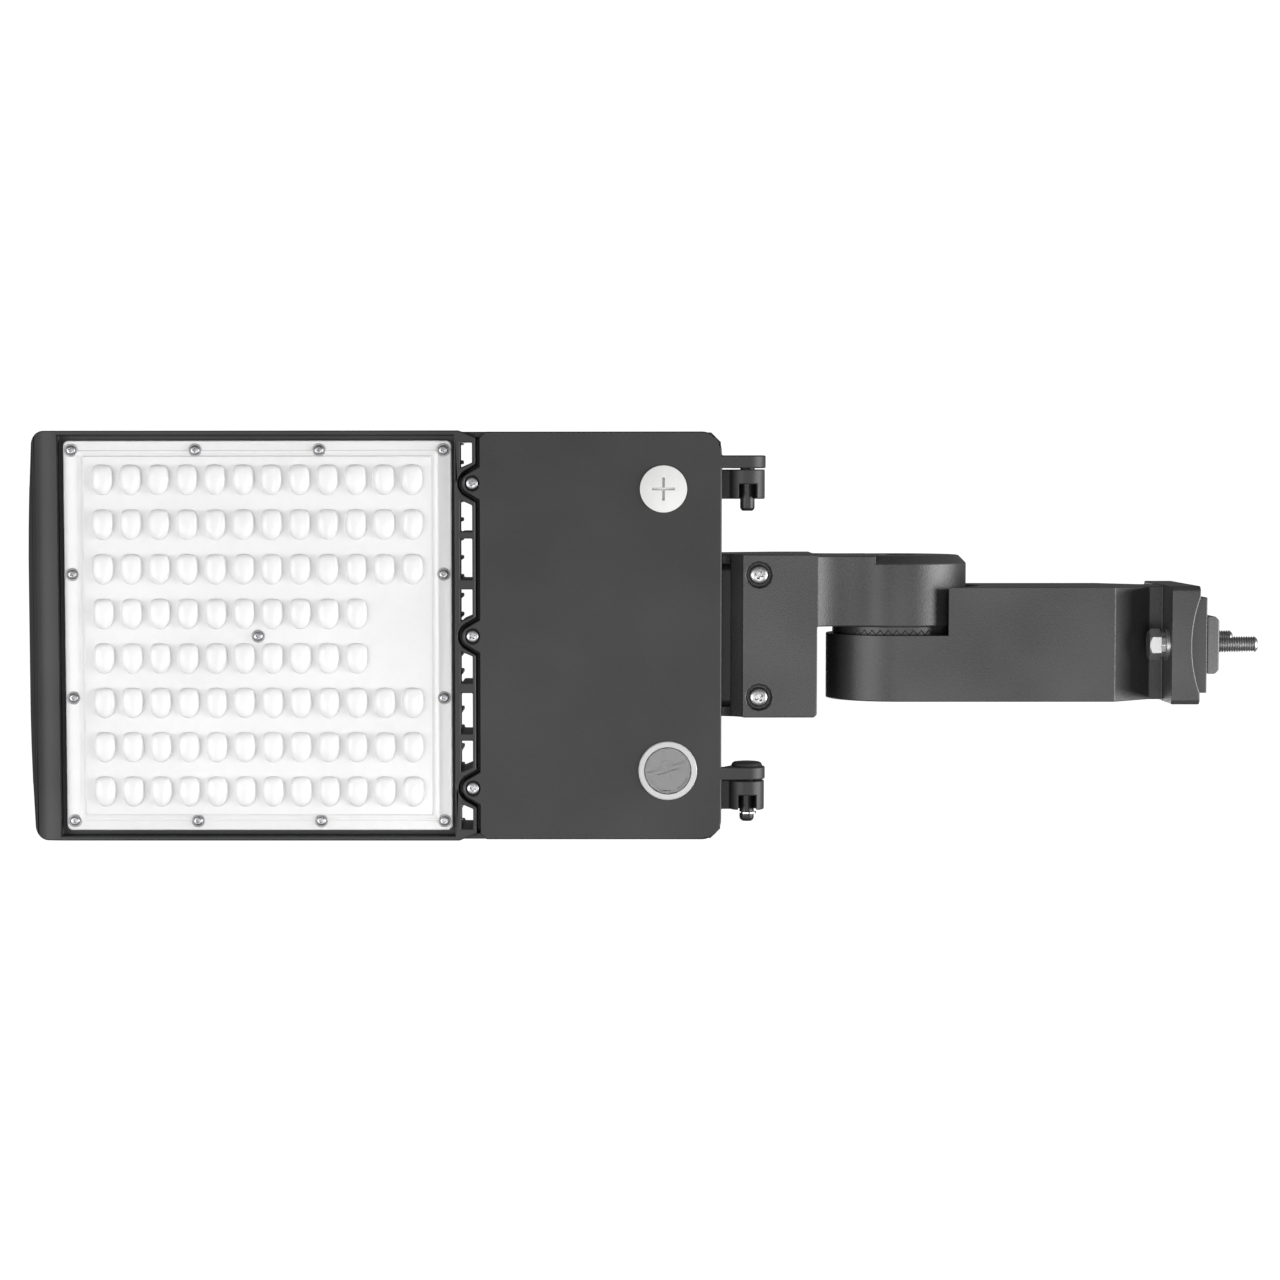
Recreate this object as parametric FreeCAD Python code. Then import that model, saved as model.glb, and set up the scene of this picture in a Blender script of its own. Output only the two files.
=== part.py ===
"""Outdoor shoebox area light on a toothed tilt arm, seen as installed: it shines down.

X runs from the light's nose (minus) to the pole (zero), Y across, Z up. The origin is the
middle of the adapter's flat face, where the arm meets the pole. All lengths are millimetres.
"""
import FreeCAD
import Part
import math
import os
from FreeCAD import Vector

# Pole end of the arm
pole_bolt_d = 10.0
pole_bolt_spacing = 80.0
pole_bolt_past_face = 32.6
pole_bolt_shank_d = 9.0
thread_crest_d = 9.8
pole_bolt_head_af = 17.0
pole_bolt_head_h = 7.0
flat_washer_d = 20.0
flat_washer_t = 2.5
lock_washer_d = 17.0
lock_washer_t = 3.0
pole_seat_r = 88.0
adapter_t = 9.9
adapter_w = 59.0
flange_t = 17.5
flange_w = 73.2
flange_edge = 14.0
backing_t = 7.2
backing_w = 35.6
backing_round = 2.5
wireway_d = 22.0

# Arm
tilt_axis_x = -188.0
arm_w = 71.0
notch_len = 8.7
notch_core = 20.0
ramp_len = 24.8
step_clear = 8.5
arm_wall = 8.0

# Toothed knuckle, shared by the arm and the bracket
knuckle_r = 44.0
joint_y = -5.6
tooth_count = 48
tooth_h = 2.9
tooth_gap = 0.3
tooth_ring_r = 40.0
tooth_ring_in_r = 30.0
tooth_fill = 0.94
ring_band = 2.4
hub_r = 14.0
knuckle_hollow = 26.0
pivot_d = 12.0
pivot_head_af = 19.0
pivot_head_h = 7.5
pivot_washer_d = 24.0
pivot_washer_t = 2.5
pivot_nut_h = 10.0
pivot_recess = 11.9
pivot_fit = 0.1

# Bracket between the knuckle and the head
head_y = -5.3
bracket_w = 101.2
bracket_len = 46.2
bracket_back = 52.2
bracket_lip_r = 12.9
bracket_floor = 14.4
bracket_end_inset = 1.0
bracket_end_round = 5.0
bracket_screw_from_back = 36.0
bracket_screw_span = 76.0
bracket_screw_d = 6.0
bracket_screw_head_d = 12.0
bracket_screw_head_h = 4.4
bracket_recess_d = 16.4
bracket_recess = 5.0
bracket_neck = 41.0
neck_dip = 2.6

# Head: tray for the board, vents and driver box in one casting
head_back = 111.5
box_len = 154.5
box_side_inset = 0.8
box_top = 28.0
box_wall = 4.5
box_roof = 3.5
box_corner_r = 12.4
box_slope_run = 30.0
vent_w = 7.4
tray_len = 271.3
tray_w = 254.8
tray_floor_t = 6.0
tray_top_front = 0.0
tray_top_back = 10.0
nose_r = 21.0
nose_bow = 4.2
nose_corner = 9.0
brow_run = 14.0
brow_drop = 8.0
rim_t = 2.8
back_rim_t = 3.6
fin_t = 2.6
fin_pitch = 12.0
fin_gaps = 20
slant = 3.2
slots = ((9.3, 29.1, 1, 0), (35.3, 60.6, 0, 0), (65.0, 84.4, 0, 1), (104.4, 120.1, 1, 0))
corner_cut_x = 10.6
corner_cut_y = 4.4
tongue_len = 37.0
tongue_w = 88.0
tongue_h = 53.4
tongue_wall = 4.0
tongue_boss_h = 10.0
fit = 0.3

# Lens, board and their fasteners
lens_l = 240.8
lens_side_gap = 3.4
lens_corner = 3.2
lens_gap = 2.0
flange_lens_t = 2.6
field_end_inset = 12.5
field_side_inset = 9.9
field_rise = 1.0
field_t = 2.6
optic_cols = 12
optic_rows = 8
array_end_inset = 3.08
array_side_inset = 0.46
optic_l = 19.2
optic_w = 13.6
optic_h = 3.8
connector_cols = 2
gasket_t = 1.2
gasket_w = 1.5
board_inset = 0.85
board_t = 1.6
board_pocket = 2.4
led_size = 5.0
led_t = 0.7
lens_screw_end = 5.0
lens_screw_side = 5.8
lens_screw_d = 3.0
lens_screw_head_d = 5.8
lens_screw_head_h = 2.0
board_screw_x = 53.0
board_screw_y = 83.2

# Driver door and what it carries
door_t = 3.0
door_gap = 2.5
bar_t = 2.1
gap_depth = 12.0
ear_r = 6.6
ear_t = 5.0
ear_from_side = 31.8
door_screw_d = 4.0
door_screw_head_d = 8.1
door_screw_head_h = 2.4
door_screw_len = 11.0
ear_recess = 2.6
door_gasket_t = 1.5
door_gasket_w = 3.4
door_chamfer = 3.6
hinge_behind = 16.2
hinge_arm_r = 11.3
hinge_arm_t = 7.9
arm_swell = 2.8
arm_swell_r = 9.6
upper_arm_from_side = 14.7
lower_arm_from_side = 45.0
hinge_gap = 0.8
lug_len = 18.2
lug_r = 10.8
pin_d = 9.0
pin_fit = 0.1
pin_tail = 7.4
pin_seat_wall = 1.5
clip_t = 1.2
clip_d = 12.0
rib_t = 2.0
rib_h = 4.0
blank_x = 36.1
blank_from_side = 35.4
blank_d = 29.2
window_x = 33.3
window_from_side = 43.0
window_d = 29.4
window_ring_d = 36.4
plug_neck_d = 22.0
window_neck_d = 27.0
window_neck_l = 6.0
pocket_in_r = 4.2
pocket_out_r = 12.6
pocket_depth = 0.9
pocket_arm_w = 4.7
stud_circle_r = 9.6
stud_d = 3.0
plug_proud = 1.4
plug_depth = 11.0
plug_fit = 0.1
plug_slot_l = 14.4
plug_slot_w = 1.6
plug_slot_depth = 1.0
tab_r = 13.6
tab_t = 2.6
seal_t = 1.2
window_turn = 17.0

# Electrical pieces in the driver box
driver_end_room = 10.1
driver_w = 68.0
driver_h = 38.0
driver_from_front = 18.0
driver_screw_d = 4.0
driver_screw_head_d = 8.0
driver_screw_head_h = 2.4
driver_screw_bite = 2.4
foot_l = 12.0
foot_w = 28.0
foot_t = 3.0
driver_gap = 8.0
surge_size = (46.0, 50.0, 28.0)
surge_from_side = 31.6
terminal_size = (30.0, 46.0, 15.0)
terminal_y = -22.0
sensor_size = (26.0, 26.0, 12.0)
sensor_gap = 8.0
duct_w = 14.0
duct_h = 8.0
lead_d = 1.8
lead_bend = 3.0
lead_reach = 14.0

# Sizes and places worked out from those above
box_w = tray_w - 2 * box_side_inset
lens_w = tray_w - 2 * (rim_t + lens_side_gap)
field_l = lens_l - 2 * field_end_inset
field_w = lens_w - 2 * field_side_inset
optic_pitch_x = (field_l - 2 * array_end_inset) / optic_cols
optic_pitch_y = (field_w - 2 * array_side_inset) / optic_rows
board_l = field_l - 2 * board_inset
board_w = field_w - 2 * board_inset
ear_span = box_w / 2 - ear_from_side
hinge_arms = (upper_arm_from_side - box_w / 2, box_w / 2 - lower_arm_from_side)
blank_y = blank_from_side - box_w / 2
window_y = box_w / 2 - window_from_side
surge_y = surge_from_side - box_w / 2
driver_l = box_w - 2 * (box_wall + driver_end_room + foot_l)
face_z = -knuckle_r
box_x1 = tilt_axis_x - head_back
box_x0 = box_x1 - box_len
tray_x1 = box_x0 - vent_w
tray_x0 = tray_x1 - tray_len
lens_x1 = tray_x1 - back_rim_t - lens_gap
lens_x = lens_x1 - lens_l / 2
lens_z = face_z + optic_h + field_rise
land_z = lens_z + flange_lens_t + gasket_t
floor_z = land_z + board_t + 0.8
door_x0 = box_x0 + bar_t + door_gap
rim_z = face_z + door_t + door_gasket_t
roof_z = box_top - box_roof
hinge_x = box_x1 + hinge_behind
hinge_z = face_z + hinge_arm_r
ear_x = box_x0
adapter_h = pole_bolt_spacing + 2 * (flange_edge - 4.0)
bracket_y0 = head_y - bracket_w / 2
bracket_y1 = head_y + bracket_w / 2
bracket_joint_y = joint_y - tooth_h - tooth_gap
bolt_z = (-pole_bolt_spacing / 2, pole_bolt_spacing / 2)


def box(x, y, z):
    """A box between two limits on each axis."""
    return Part.makeBox(x[1] - x[0], y[1] - y[0], z[1] - z[0], Vector(x[0], y[0], z[0]))


def edges_along(shape, axis):
    """The straight edges of a shape that run along one axis."""
    along = {"x": Vector(1, 0, 0), "y": Vector(0, 1, 0), "z": Vector(0, 0, 1)}[axis]
    return [e for e in shape.Edges if e.tangentAt(e.FirstParameter).cross(along).Length < 1e-6]


def eased(x, y, z, size, axis="z"):
    """A box with its edges along one axis chamfered."""
    shape = box(x, y, z)
    return shape.makeChamfer(size, edges_along(shape, axis))


def rod(radius, start, end):
    """A round bar between two points."""
    run = Vector(*end) - Vector(*start)
    return Part.makeCylinder(radius, run.Length, Vector(*start), run)


def bar(sides, radius, start, end):
    """A bar with flat sides whose corners lie on a radius. Small round pieces have few sides."""
    run = Vector(*end) - Vector(*start)
    side = Vector(1, 0, 0) if abs(run.x) < run.Length / 2 else Vector(0, 1, 0)
    across = run.cross(side).normalize()
    points = []
    for k in range(sides):
        turn = 2 * math.pi * k / sides
        points.append(Vector(*start) + side * radius * math.cos(turn)
                      + across * radius * math.sin(turn))
    return Part.Face(Part.makePolygon(points + [points[0]])).extrude(run)


def around(sides, radius):
    """The corner radius of a hole with flat sides that a round bar of this radius just fits."""
    return radius / math.cos(math.pi / sides)


def hexagon(flats, start, end):
    """A six-sided bar between two points on a line along X or Y, with flats above and below."""
    return bar(6, around(6, flats / 2), start, end)


def extruded(start, moves, run):
    """Extrude a closed outline. A move is an end point, or an arc's (through, end) points."""
    edges = []
    here = Vector(*start)
    for move in list(moves) + [start]:
        if isinstance(move[0], tuple):
            through, end = Vector(*move[0]), Vector(*move[1])
            edges.append(Part.Arc(here, through, end).toShape())
        else:
            end = Vector(*move)
            if end.distanceToPoint(here) < 1e-6:
                continue
            edges.append(Part.makeLine(here, end))
        here = end
    return Part.Face(Part.Wire(edges)).extrude(Vector(*run))


def mirrored(shape):
    """A piece and its mirror image across the head's centre line."""
    return shape.fuse(shape.mirror(Vector(0, 0, 0), Vector(0, 1, 0)))


def moved(shape, y):
    """The shape moved across."""
    copy = shape.copy()
    copy.translate(Vector(0, y, 0))
    return copy


def fused(shapes):
    """One solid from many, with the seams between them removed."""
    return shapes[0].fuse(shapes[1:]).removeSplitter()


# Arm, knuckle and pole end

def tooth_grooves(y_top, y_root, first):
    """The V grooves of a face-toothed ring, as one cutter. They narrow towards the axis."""
    pitch = 2 * math.pi / tooth_count
    mid = (y_top + y_root) / 2
    grooves = []
    for k in range(tooth_count):
        turn = math.degrees(pitch * (k + first))
        corners = []
        for r in (tooth_ring_in_r - 2, tooth_ring_r + 2):
            share = r / tooth_ring_r
            half = r * math.tan(pitch / 2) * tooth_fill
            top = mid + (y_top - mid) * share
            root = mid + (y_root - mid) * share
            over = top + (y_top - y_root) * 0.4
            wide = half * (over - root) / (top - root)
            corners.append([Vector(r, root, 0), Vector(r, over, wide), Vector(r, over, -wide)])
        inner, outer = corners
        sides = [inner, outer] + [[inner[i], inner[j], outer[j], outer[i]]
                                  for i, j in ((0, 1), (1, 2), (2, 0))]
        shell = Part.makeShell([Part.Face(Part.makePolygon(s + [s[0]])) for s in sides])
        groove = Part.makeSolid(shell)
        groove.rotate(Vector(0, 0, 0), Vector(0, 1, 0), turn)
        grooves.append(groove)
    cutter = Part.makeCompound(grooves)
    cutter.translate(Vector(tilt_axis_x, 0, 0))
    return cutter


def ring_of_teeth(base_y, root_y, tip_y, first):
    """A ring standing on a knuckle face, with radial V teeth cut in its end."""
    ring = bar(tooth_count, tooth_ring_r, (tilt_axis_x, base_y, 0), (tilt_axis_x, tip_y, 0))
    ring = ring.cut(bar(tooth_count, tooth_ring_in_r, (tilt_axis_x, 2 * base_y - tip_y, 0),
                        (tilt_axis_x, 2 * tip_y - base_y, 0)))
    ring.rotate(Vector(tilt_axis_x, 0, 0), Vector(0, 1, 0), 360 / tooth_count * first)
    return ring.cut(tooth_grooves(tip_y, root_y, first))


def knuckle_hollow_cut(face_y, depth):
    """The ring-shaped hollow round the hub, which the wires pass through."""
    far = face_y + depth
    outer = bar(16, tooth_ring_in_r - 1, (tilt_axis_x, face_y, 0), (tilt_axis_x, far, 0))
    hub = bar(12, hub_r, (tilt_axis_x, face_y - depth, 0), (tilt_axis_x, far + depth, 0))
    return outer.cut(hub)


def pole_seat(clear):
    """The round face between the flange and the adapter, as a cutter for the flange."""
    x = -adapter_t + pole_seat_r
    tall = flange_edge * 4 + pole_bolt_spacing
    return rod(pole_seat_r + clear, (x, 0, -tall / 2), (x, 0, tall / 2))


def seat_depth():
    """The adapter's thickness at its edges."""
    return adapter_t - pole_seat_r + math.sqrt(pole_seat_r ** 2 - (adapter_w / 2) ** 2)


flange_x1 = -seat_depth()
flange_x0 = flange_x1 - flange_t
notch_x0 = flange_x0 - notch_len
ramp_x0 = notch_x0 - ramp_len


def pole_arm():
    """Arm casting: half knuckle, square arm, ramps to the two bolts, and the pole flange."""
    half_w = arm_w / 2
    side = [(ramp_x0, 0, -knuckle_r), (notch_x0, 0, -notch_core), (flange_x0 + 1, 0, -notch_core),
            (flange_x0 + 1, 0, notch_core), (notch_x0, 0, notch_core), (ramp_x0, 0, knuckle_r),
            (tilt_axis_x, 0, knuckle_r)]
    side = [(x, -half_w, z) for x, y, z in side]
    body = extruded((tilt_axis_x, -half_w, -knuckle_r), side, (0, arm_w, 0))
    pocket_r = knuckle_r + step_clear
    pocket = rod(pocket_r, (tilt_axis_x, -half_w - 1, 0), (tilt_axis_x, joint_y, 0))
    behind = box((tilt_axis_x - 1, tilt_axis_x), (-half_w - 1, joint_y), (-pocket_r, pocket_r))
    body = body.cut(pocket.fuse(behind))
    half = rod(knuckle_r, (tilt_axis_x, joint_y, 0), (tilt_axis_x, half_w, 0))
    flange_h = pole_bolt_spacing + 2 * flange_edge
    flange = eased((flange_x0, flange_x1), (-flange_w / 2, flange_w / 2),
                   (-flange_h / 2, flange_h / 2), 2.5, "x")
    flange = flange.cut(pole_seat(0.0))
    body = fused([body, half, flange])
    chamber = eased((tilt_axis_x + pocket_r + arm_wall, ramp_x0 - arm_wall / 2),
                    (-half_w + arm_wall, half_w - arm_wall),
                    (-knuckle_r + arm_wall, knuckle_r - arm_wall), 8.0, "x")
    hollow_y = joint_y + knuckle_hollow / 2
    cuts = [chamber,
            bar(8, wireway_d / 2, (ramp_x0 - 2 * arm_wall, 0, 0), (0, 0, 0)),
            bar(8, wireway_d / 2 - 1, (tilt_axis_x + hub_r + 4, hollow_y, 0),
                (tilt_axis_x + pocket_r + 2 * arm_wall, hollow_y, 0)),
            knuckle_hollow_cut(joint_y, knuckle_hollow),
            bar(12, pivot_d / 2, (tilt_axis_x, joint_y - 1, 0), (tilt_axis_x, half_w + 1, 0)),
            hexagon(pivot_head_af + fit, (tilt_axis_x, half_w - pivot_nut_h - 1, 0),
                    (tilt_axis_x, half_w + 1, 0))]
    for z in bolt_z:
        cuts.append(bar(8, around(8, pole_bolt_d / 2 + fit), (flange_x0 - 1, 0, z), (0, 0, z)))
    body = body.cut(Part.makeCompound(cuts))
    return fused([body, ring_of_teeth(joint_y, joint_y, joint_y - tooth_h, 0)])


def pole_adapter():
    """Wedge between the flange's hollow and a flat pole: round one side, flat the other."""
    block = box((-adapter_t, 0), (-adapter_w / 2, adapter_w / 2), (-adapter_h / 2, adapter_h / 2))
    block = block.common(pole_seat(-0.1))
    hole_r = around(8, pole_bolt_d / 2 + fit)
    cuts = [bar(8, wireway_d / 2, (-adapter_t - 1, 0, 0), (1, 0, 0))]
    cuts += [bar(8, hole_r, (-adapter_t - 1, 0, z), (1, 0, z)) for z in bolt_z]
    return block.cut(Part.makeCompound(cuts))


def backing_plate():
    """Plate inside the pole that the two bolts screw into, with its outer edges rounded."""
    half_w, half_h = backing_w / 2, adapter_h / 2
    x0, x1 = fit, fit + backing_t
    r = backing_round
    moves = [(x0, half_w, -half_h), (x1 - r, half_w, -half_h), (x1, half_w - r, -half_h),
             (x1, r - half_w, -half_h), (x1 - r, -half_w, -half_h)]
    plate = extruded((x0, -half_w, -half_h), moves, (0, 0, adapter_h))
    hole_r = around(16, pole_bolt_d / 2 + pivot_fit)
    cuts = [bar(8, wireway_d / 2, (x0 - 1, 0, 0), (x1 + 1, 0, 0))]
    cuts += [bar(16, hole_r, (x0 - 1, 0, z), (x1 + 1, 0, z)) for z in bolt_z]
    return plate.cut(Part.makeCompound(cuts))


def pole_bolts():
    """Two hex head bolts with rolled threads, so their shanks are thinner than the thread."""
    seat = flange_x0 - flat_washer_t - lock_washer_t
    free_x = fit + backing_t
    bolts = []
    for z in bolt_z:
        head = hexagon(pole_bolt_head_af, (seat - pole_bolt_head_h, 0, z), (seat, 0, z))
        shank = bar(16, pole_bolt_shank_d / 2, (seat - 1, 0, z), (free_x + 1, 0, z))
        thread = rod(thread_crest_d / 2, (free_x, 0, z), (pole_bolt_past_face, 0, z))
        bolts.append(fused([head, shank, thread]))
    return Part.makeCompound(bolts)


def washers(outer_d, thick, x1):
    """A washer on each pole bolt, its far face at x1."""
    rings = []
    for z in bolt_z:
        ring = bar(12, outer_d / 2, (x1 - thick, 0, z), (x1, 0, z))
        hole_r = around(8, pole_bolt_d / 2 + 0.2)
        rings.append(ring.cut(bar(8, hole_r, (x1 - thick - 1, 0, z), (x1 + 1, 0, z))))
    return Part.makeCompound(rings)


def lock_washers():
    """Spring washers: split once, under each bolt head."""
    rings = washers(lock_washer_d, lock_washer_t, flange_x0 - flat_washer_t)
    x = flange_x0 - flat_washer_t - lock_washer_t
    splits = [box((x - 1, x + lock_washer_t + 1), (-lock_washer_d, 0), (z - 0.5, z + 0.5))
              for z in bolt_z]
    return rings.cut(Part.makeCompound(splits))


# Bracket and pivot

recess_floor_y = bracket_y0 + bracket_end_inset + pivot_recess


def pivot_bolt():
    """Hex head bolt on which the knuckle turns."""
    seat = recess_floor_y - pivot_washer_t
    head = hexagon(pivot_head_af, (tilt_axis_x, seat - pivot_head_h, 0), (tilt_axis_x, seat, 0))
    tip_y = arm_w / 2 - 0.5
    return fused([head, bar(12, pivot_d / 2, (tilt_axis_x, seat - 1, 0), (tilt_axis_x, tip_y, 0))])


def pivot_washer():
    """Washer under the pivot bolt's head."""
    y0 = recess_floor_y - pivot_washer_t
    ring = bar(16, pivot_washer_d / 2, (tilt_axis_x, y0, 0), (tilt_axis_x, recess_floor_y, 0))
    hole_r = around(8, pivot_d / 2 + 0.2)
    return ring.cut(bar(8, hole_r, (tilt_axis_x, y0 - 1, 0), (tilt_axis_x, joint_y, 0)))


def pivot_nut():
    """Nut held from turning in the arm's six-sided pocket."""
    y0 = arm_w / 2 - pivot_nut_h - 1
    nut = hexagon(pivot_head_af, (tilt_axis_x, y0, 0), (tilt_axis_x, y0 + pivot_nut_h, 0))
    hole_r = around(8, pivot_d / 2)
    return nut.cut(bar(8, hole_r, (tilt_axis_x, y0 - 1, 0), (tilt_axis_x, arm_w, 0)))


def bracket_screw_places():
    """The two screws that hold the bracket to the tongue, as (x, y)."""
    x = tilt_axis_x - bracket_back - bracket_screw_from_back
    return [(x, head_y + s * bracket_screw_span / 2) for s in (-1, 1)]


def bracket():
    """Rear bracket: a socket over the head's tongue, and the other half of the knuckle."""
    x1 = tilt_axis_x - bracket_back
    x0 = box_x1 + fit
    lip = bracket_lip_r
    s = lip * math.sqrt(0.5)
    top_front = box_top - 1
    moves = [((x0 + s, bracket_y0, face_z + s), (x0 + lip, bracket_y0, face_z)),
             (x1, bracket_y0, face_z), (x1, bracket_y0, knuckle_r),
             (x1 - bracket_len / 2, bracket_y0, knuckle_r), (x0, bracket_y0, top_front)]
    block = extruded((x0, bracket_y0, face_z + lip), moves, (0, bracket_w, 0))
    end_y = bracket_y0 + bracket_end_inset
    half_y = joint_y - tooth_h - tooth_gap - ring_band
    half = rod(knuckle_r, (tilt_axis_x, end_y, 0), (tilt_axis_x, half_y, 0))
    outer = [e for e in half.Edges if abs(e.CenterOfMass.y - end_y) < 0.1 and e.Closed]
    half = half.makeChamfer(bracket_end_round, outer)
    neck_x = tilt_axis_x - math.sqrt(knuckle_r ** 2 - bracket_neck ** 2)
    mid_x = (x1 + neck_x) / 2
    dip = bracket_neck - neck_dip
    neck_moves = [((mid_x, end_y, -dip), (neck_x, end_y, -bracket_neck)),
                  (neck_x, end_y, bracket_neck),
                  ((mid_x, end_y, dip), (x1, end_y, knuckle_r)),
                  (x1 - 2, end_y, knuckle_r), (x1 - 2, end_y, -knuckle_r)]
    neck = extruded((x1, end_y, -knuckle_r), neck_moves, (0, half_y - end_y, 0))
    fill = box((neck_x, tilt_axis_x), (end_y, half_y), (-bracket_neck, bracket_neck))
    fill = fill.common(rod(knuckle_r, (tilt_axis_x, end_y, 0), (tilt_axis_x, half_y, 0)))
    edge = box((neck_x, tilt_axis_x + knuckle_r), (end_y, end_y + bracket_end_round),
               (-knuckle_r, knuckle_r))
    body = fused([block, half, neck, fill.cut(edge)])
    socket_y = (head_y - tongue_w / 2 - fit, head_y + tongue_w / 2 + fit)
    socket_z = (face_z + bracket_floor - 2.4 - fit, face_z + bracket_floor - 2.4 + tongue_h + fit)
    socket = box((x0 - 1, box_x1 + tongue_len + fit), socket_y, socket_z)
    wire_y = bracket_joint_y - knuckle_hollow / 2
    cuts = [socket,
            bar(8, wireway_d / 2 - 1, (box_x1 + tongue_len - 2, wire_y, 0),
                (tilt_axis_x - hub_r - 4, wire_y, 0)),
            knuckle_hollow_cut(bracket_joint_y + 1, -knuckle_hollow - 1),
            bar(12, around(12, pivot_d / 2 + pivot_fit), (tilt_axis_x, bracket_y0 - 1, 0),
                (tilt_axis_x, 0, 0)),
            bar(16, pivot_washer_d / 2 + 1, (tilt_axis_x, bracket_y0 - 1, 0),
                (tilt_axis_x, recess_floor_y, 0))]
    for x, y in bracket_screw_places():
        cuts.append(bar(12, bracket_recess_d / 2, (x, y, face_z - 1),
                        (x, y, face_z + bracket_recess)))
        cuts.append(bar(8, bracket_screw_d / 2 + fit, (x, y, face_z),
                        (x, y, face_z + bracket_floor)))
    band = bar(tooth_count, tooth_ring_r, (tilt_axis_x, half_y, 0),
               (tilt_axis_x, bracket_joint_y, 0))
    band.rotate(Vector(tilt_axis_x, 0, 0), Vector(0, 1, 0), 180 / tooth_count)
    teeth = ring_of_teeth(bracket_joint_y, bracket_joint_y, bracket_joint_y + tooth_h, 0.5)
    body = fused([body, band]).cut(Part.makeCompound(cuts))
    corner = [e for e in body.Edges if e.Length > 80 and abs(e.CenterOfMass.x - x1) < 0.1
              and abs(e.CenterOfMass.y - bracket_y1) < 0.1]
    body = body.makeChamfer(2.0, corner)
    return fused([body, teeth])


def bracket_screws():
    """Two pan head screws up through the bracket's floor into the tongue."""
    seat = face_z + bracket_recess
    screws = []
    for x, y in bracket_screw_places():
        head = bar(12, bracket_screw_head_d / 2, (x, y, seat - bracket_screw_head_h), (x, y, seat))
        shank = bar(8, bracket_screw_d / 2, (x, y, seat - 1), (x, y, tongue_z0() + tongue_boss_h - 1))
        screws.append(fused([head, shank]))
    return Part.makeCompound(screws)


# Housing

def tongue_z0():
    """The underside of the tongue, just above the socket's floor."""
    return face_z + bracket_floor - 2.4


def plan_outline(z0, z1):
    """The tray's outline from above: bowed nose, rounded corners, cut corners at the vents."""
    half = tray_w / 2
    x1 = box_x0 + bar_t
    xc = tray_x0 + nose_bow
    r = nose_corner
    s = r * (1 - math.sqrt(0.5))
    moves = [((tray_x0, 0, z0), (xc, half - r, z0)),
             ((xc + s, half - s, z0), (xc + r, half, z0)),
             (x1 - corner_cut_x, half, z0), (x1, half - corner_cut_y, z0),
             (x1, corner_cut_y - half, z0), (x1 - corner_cut_x, -half, z0),
             (xc + r, -half, z0), ((xc + s, s - half, z0), (xc, r - half, z0))]
    return extruded((xc, r - half, z0), moves, (0, 0, z1 - z0))


def tray_block():
    """The tray before it is hollowed: a rounded nose and a gently rising top."""
    half = tray_w / 2
    r = nose_r
    s = r * math.sqrt(0.5)
    x1 = box_x0 + bar_t
    nose = (tray_x0 + r - s, -half, face_z + r - s)
    moves = [(nose, (tray_x0, -half, face_z + r)),
             (tray_x0 + 2, -half, tray_top_front - brow_drop),
             ((tray_x0 + 5, -half, tray_top_front - 2), (tray_x0 + brow_run, -half, tray_top_front)),
             (tray_x1, -half, tray_top_back), (x1, -half, tray_top_back), (x1, -half, face_z)]
    block = extruded((tray_x0 + r, -half, face_z), moves, (0, tray_w, 0))
    return block.common(plan_outline(face_z - 1, box_top + 1))


def driver_box_block():
    """The driver box before it is hollowed, with its front sloping up from the tray."""
    half = box_w / 2
    moves = [(box_x1, -half, rim_z), (box_x1, -half, box_top - 6),
             ((box_x1 - 1.8, -half, box_top - 1.8), (box_x1 - 6, -half, box_top)),
             (box_x0 + box_slope_run, -half, box_top), (box_x0, -half, tray_top_back),
             (tray_x1, -half, tray_top_back)]
    block = extruded((tray_x1, -half, rim_z), moves, (0, box_w, 0))
    plan = box((tray_x1, box_x1), (-half, half), (rim_z, box_top))
    rear = [e for e in plan.Edges if abs(e.CenterOfMass.x - box_x1) < 0.1
            and abs(e.CenterOfMass.z - (rim_z + box_top) / 2) < 0.1]
    return block.common(plan.makeFillet(box_corner_r, rear))


def ear_shape(y, grow, z0, z1):
    """The outline of a screw ear, grown by a gap: a round end between two slanted flanks."""
    r = ear_r + grow
    lean = math.radians(30)
    tx, ty = ear_x - r * math.sin(lean), r * math.cos(lean)
    base_y = ty + (door_x0 - tx) * math.tan(lean)
    inside = door_x0 + 3
    moves = [(door_x0, y + base_y, z0), (tx, y + ty, z0),
             ((ear_x - r, y, z0), (tx, y - ty, z0)),
             (door_x0, y - base_y, z0), (inside, y - base_y, z0)]
    return extruded((inside, y + base_y, z0), moves, (0, 0, z1 - z0))


ear_places = (-ear_span, 0.0, ear_span)


def only_ear(shape, y, x1, z0, z1):
    """What a shape leaves in front of x1, beside one ear."""
    room = 6 * ear_r
    return shape.common(box((tray_x0, x1), (y - room, y + room), (z0, z1)))


def vent_slots():
    """The through slots between tray and box. An end beside an ear is slanted like it."""
    cutters = []
    x0, x1 = tray_x1, box_x0
    z = face_z - 1
    for near, far, near_slant, far_slant in slots:
        outline = [(x0, far, z), (x1, far - slant * far_slant, z),
                   (x1, near + slant * near_slant, z)]
        cutters.append(mirrored(extruded((x0, near, z), outline, (0, 0, box_top - face_z + 2))))
    return cutters


def fin_cuts():
    """The gaps between the cooling fins on the tray's back."""
    cutters = []
    z0 = floor_z + tray_floor_t
    for k in range(fin_gaps):
        y = (k - (fin_gaps - 1) / 2) * fin_pitch
        half = (fin_pitch - fin_t) / 2
        cutters.append(box((tray_x0 + nose_r, tray_x1), (y - half, y + half), (z0, box_top + 1)))
    return cutters


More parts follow.
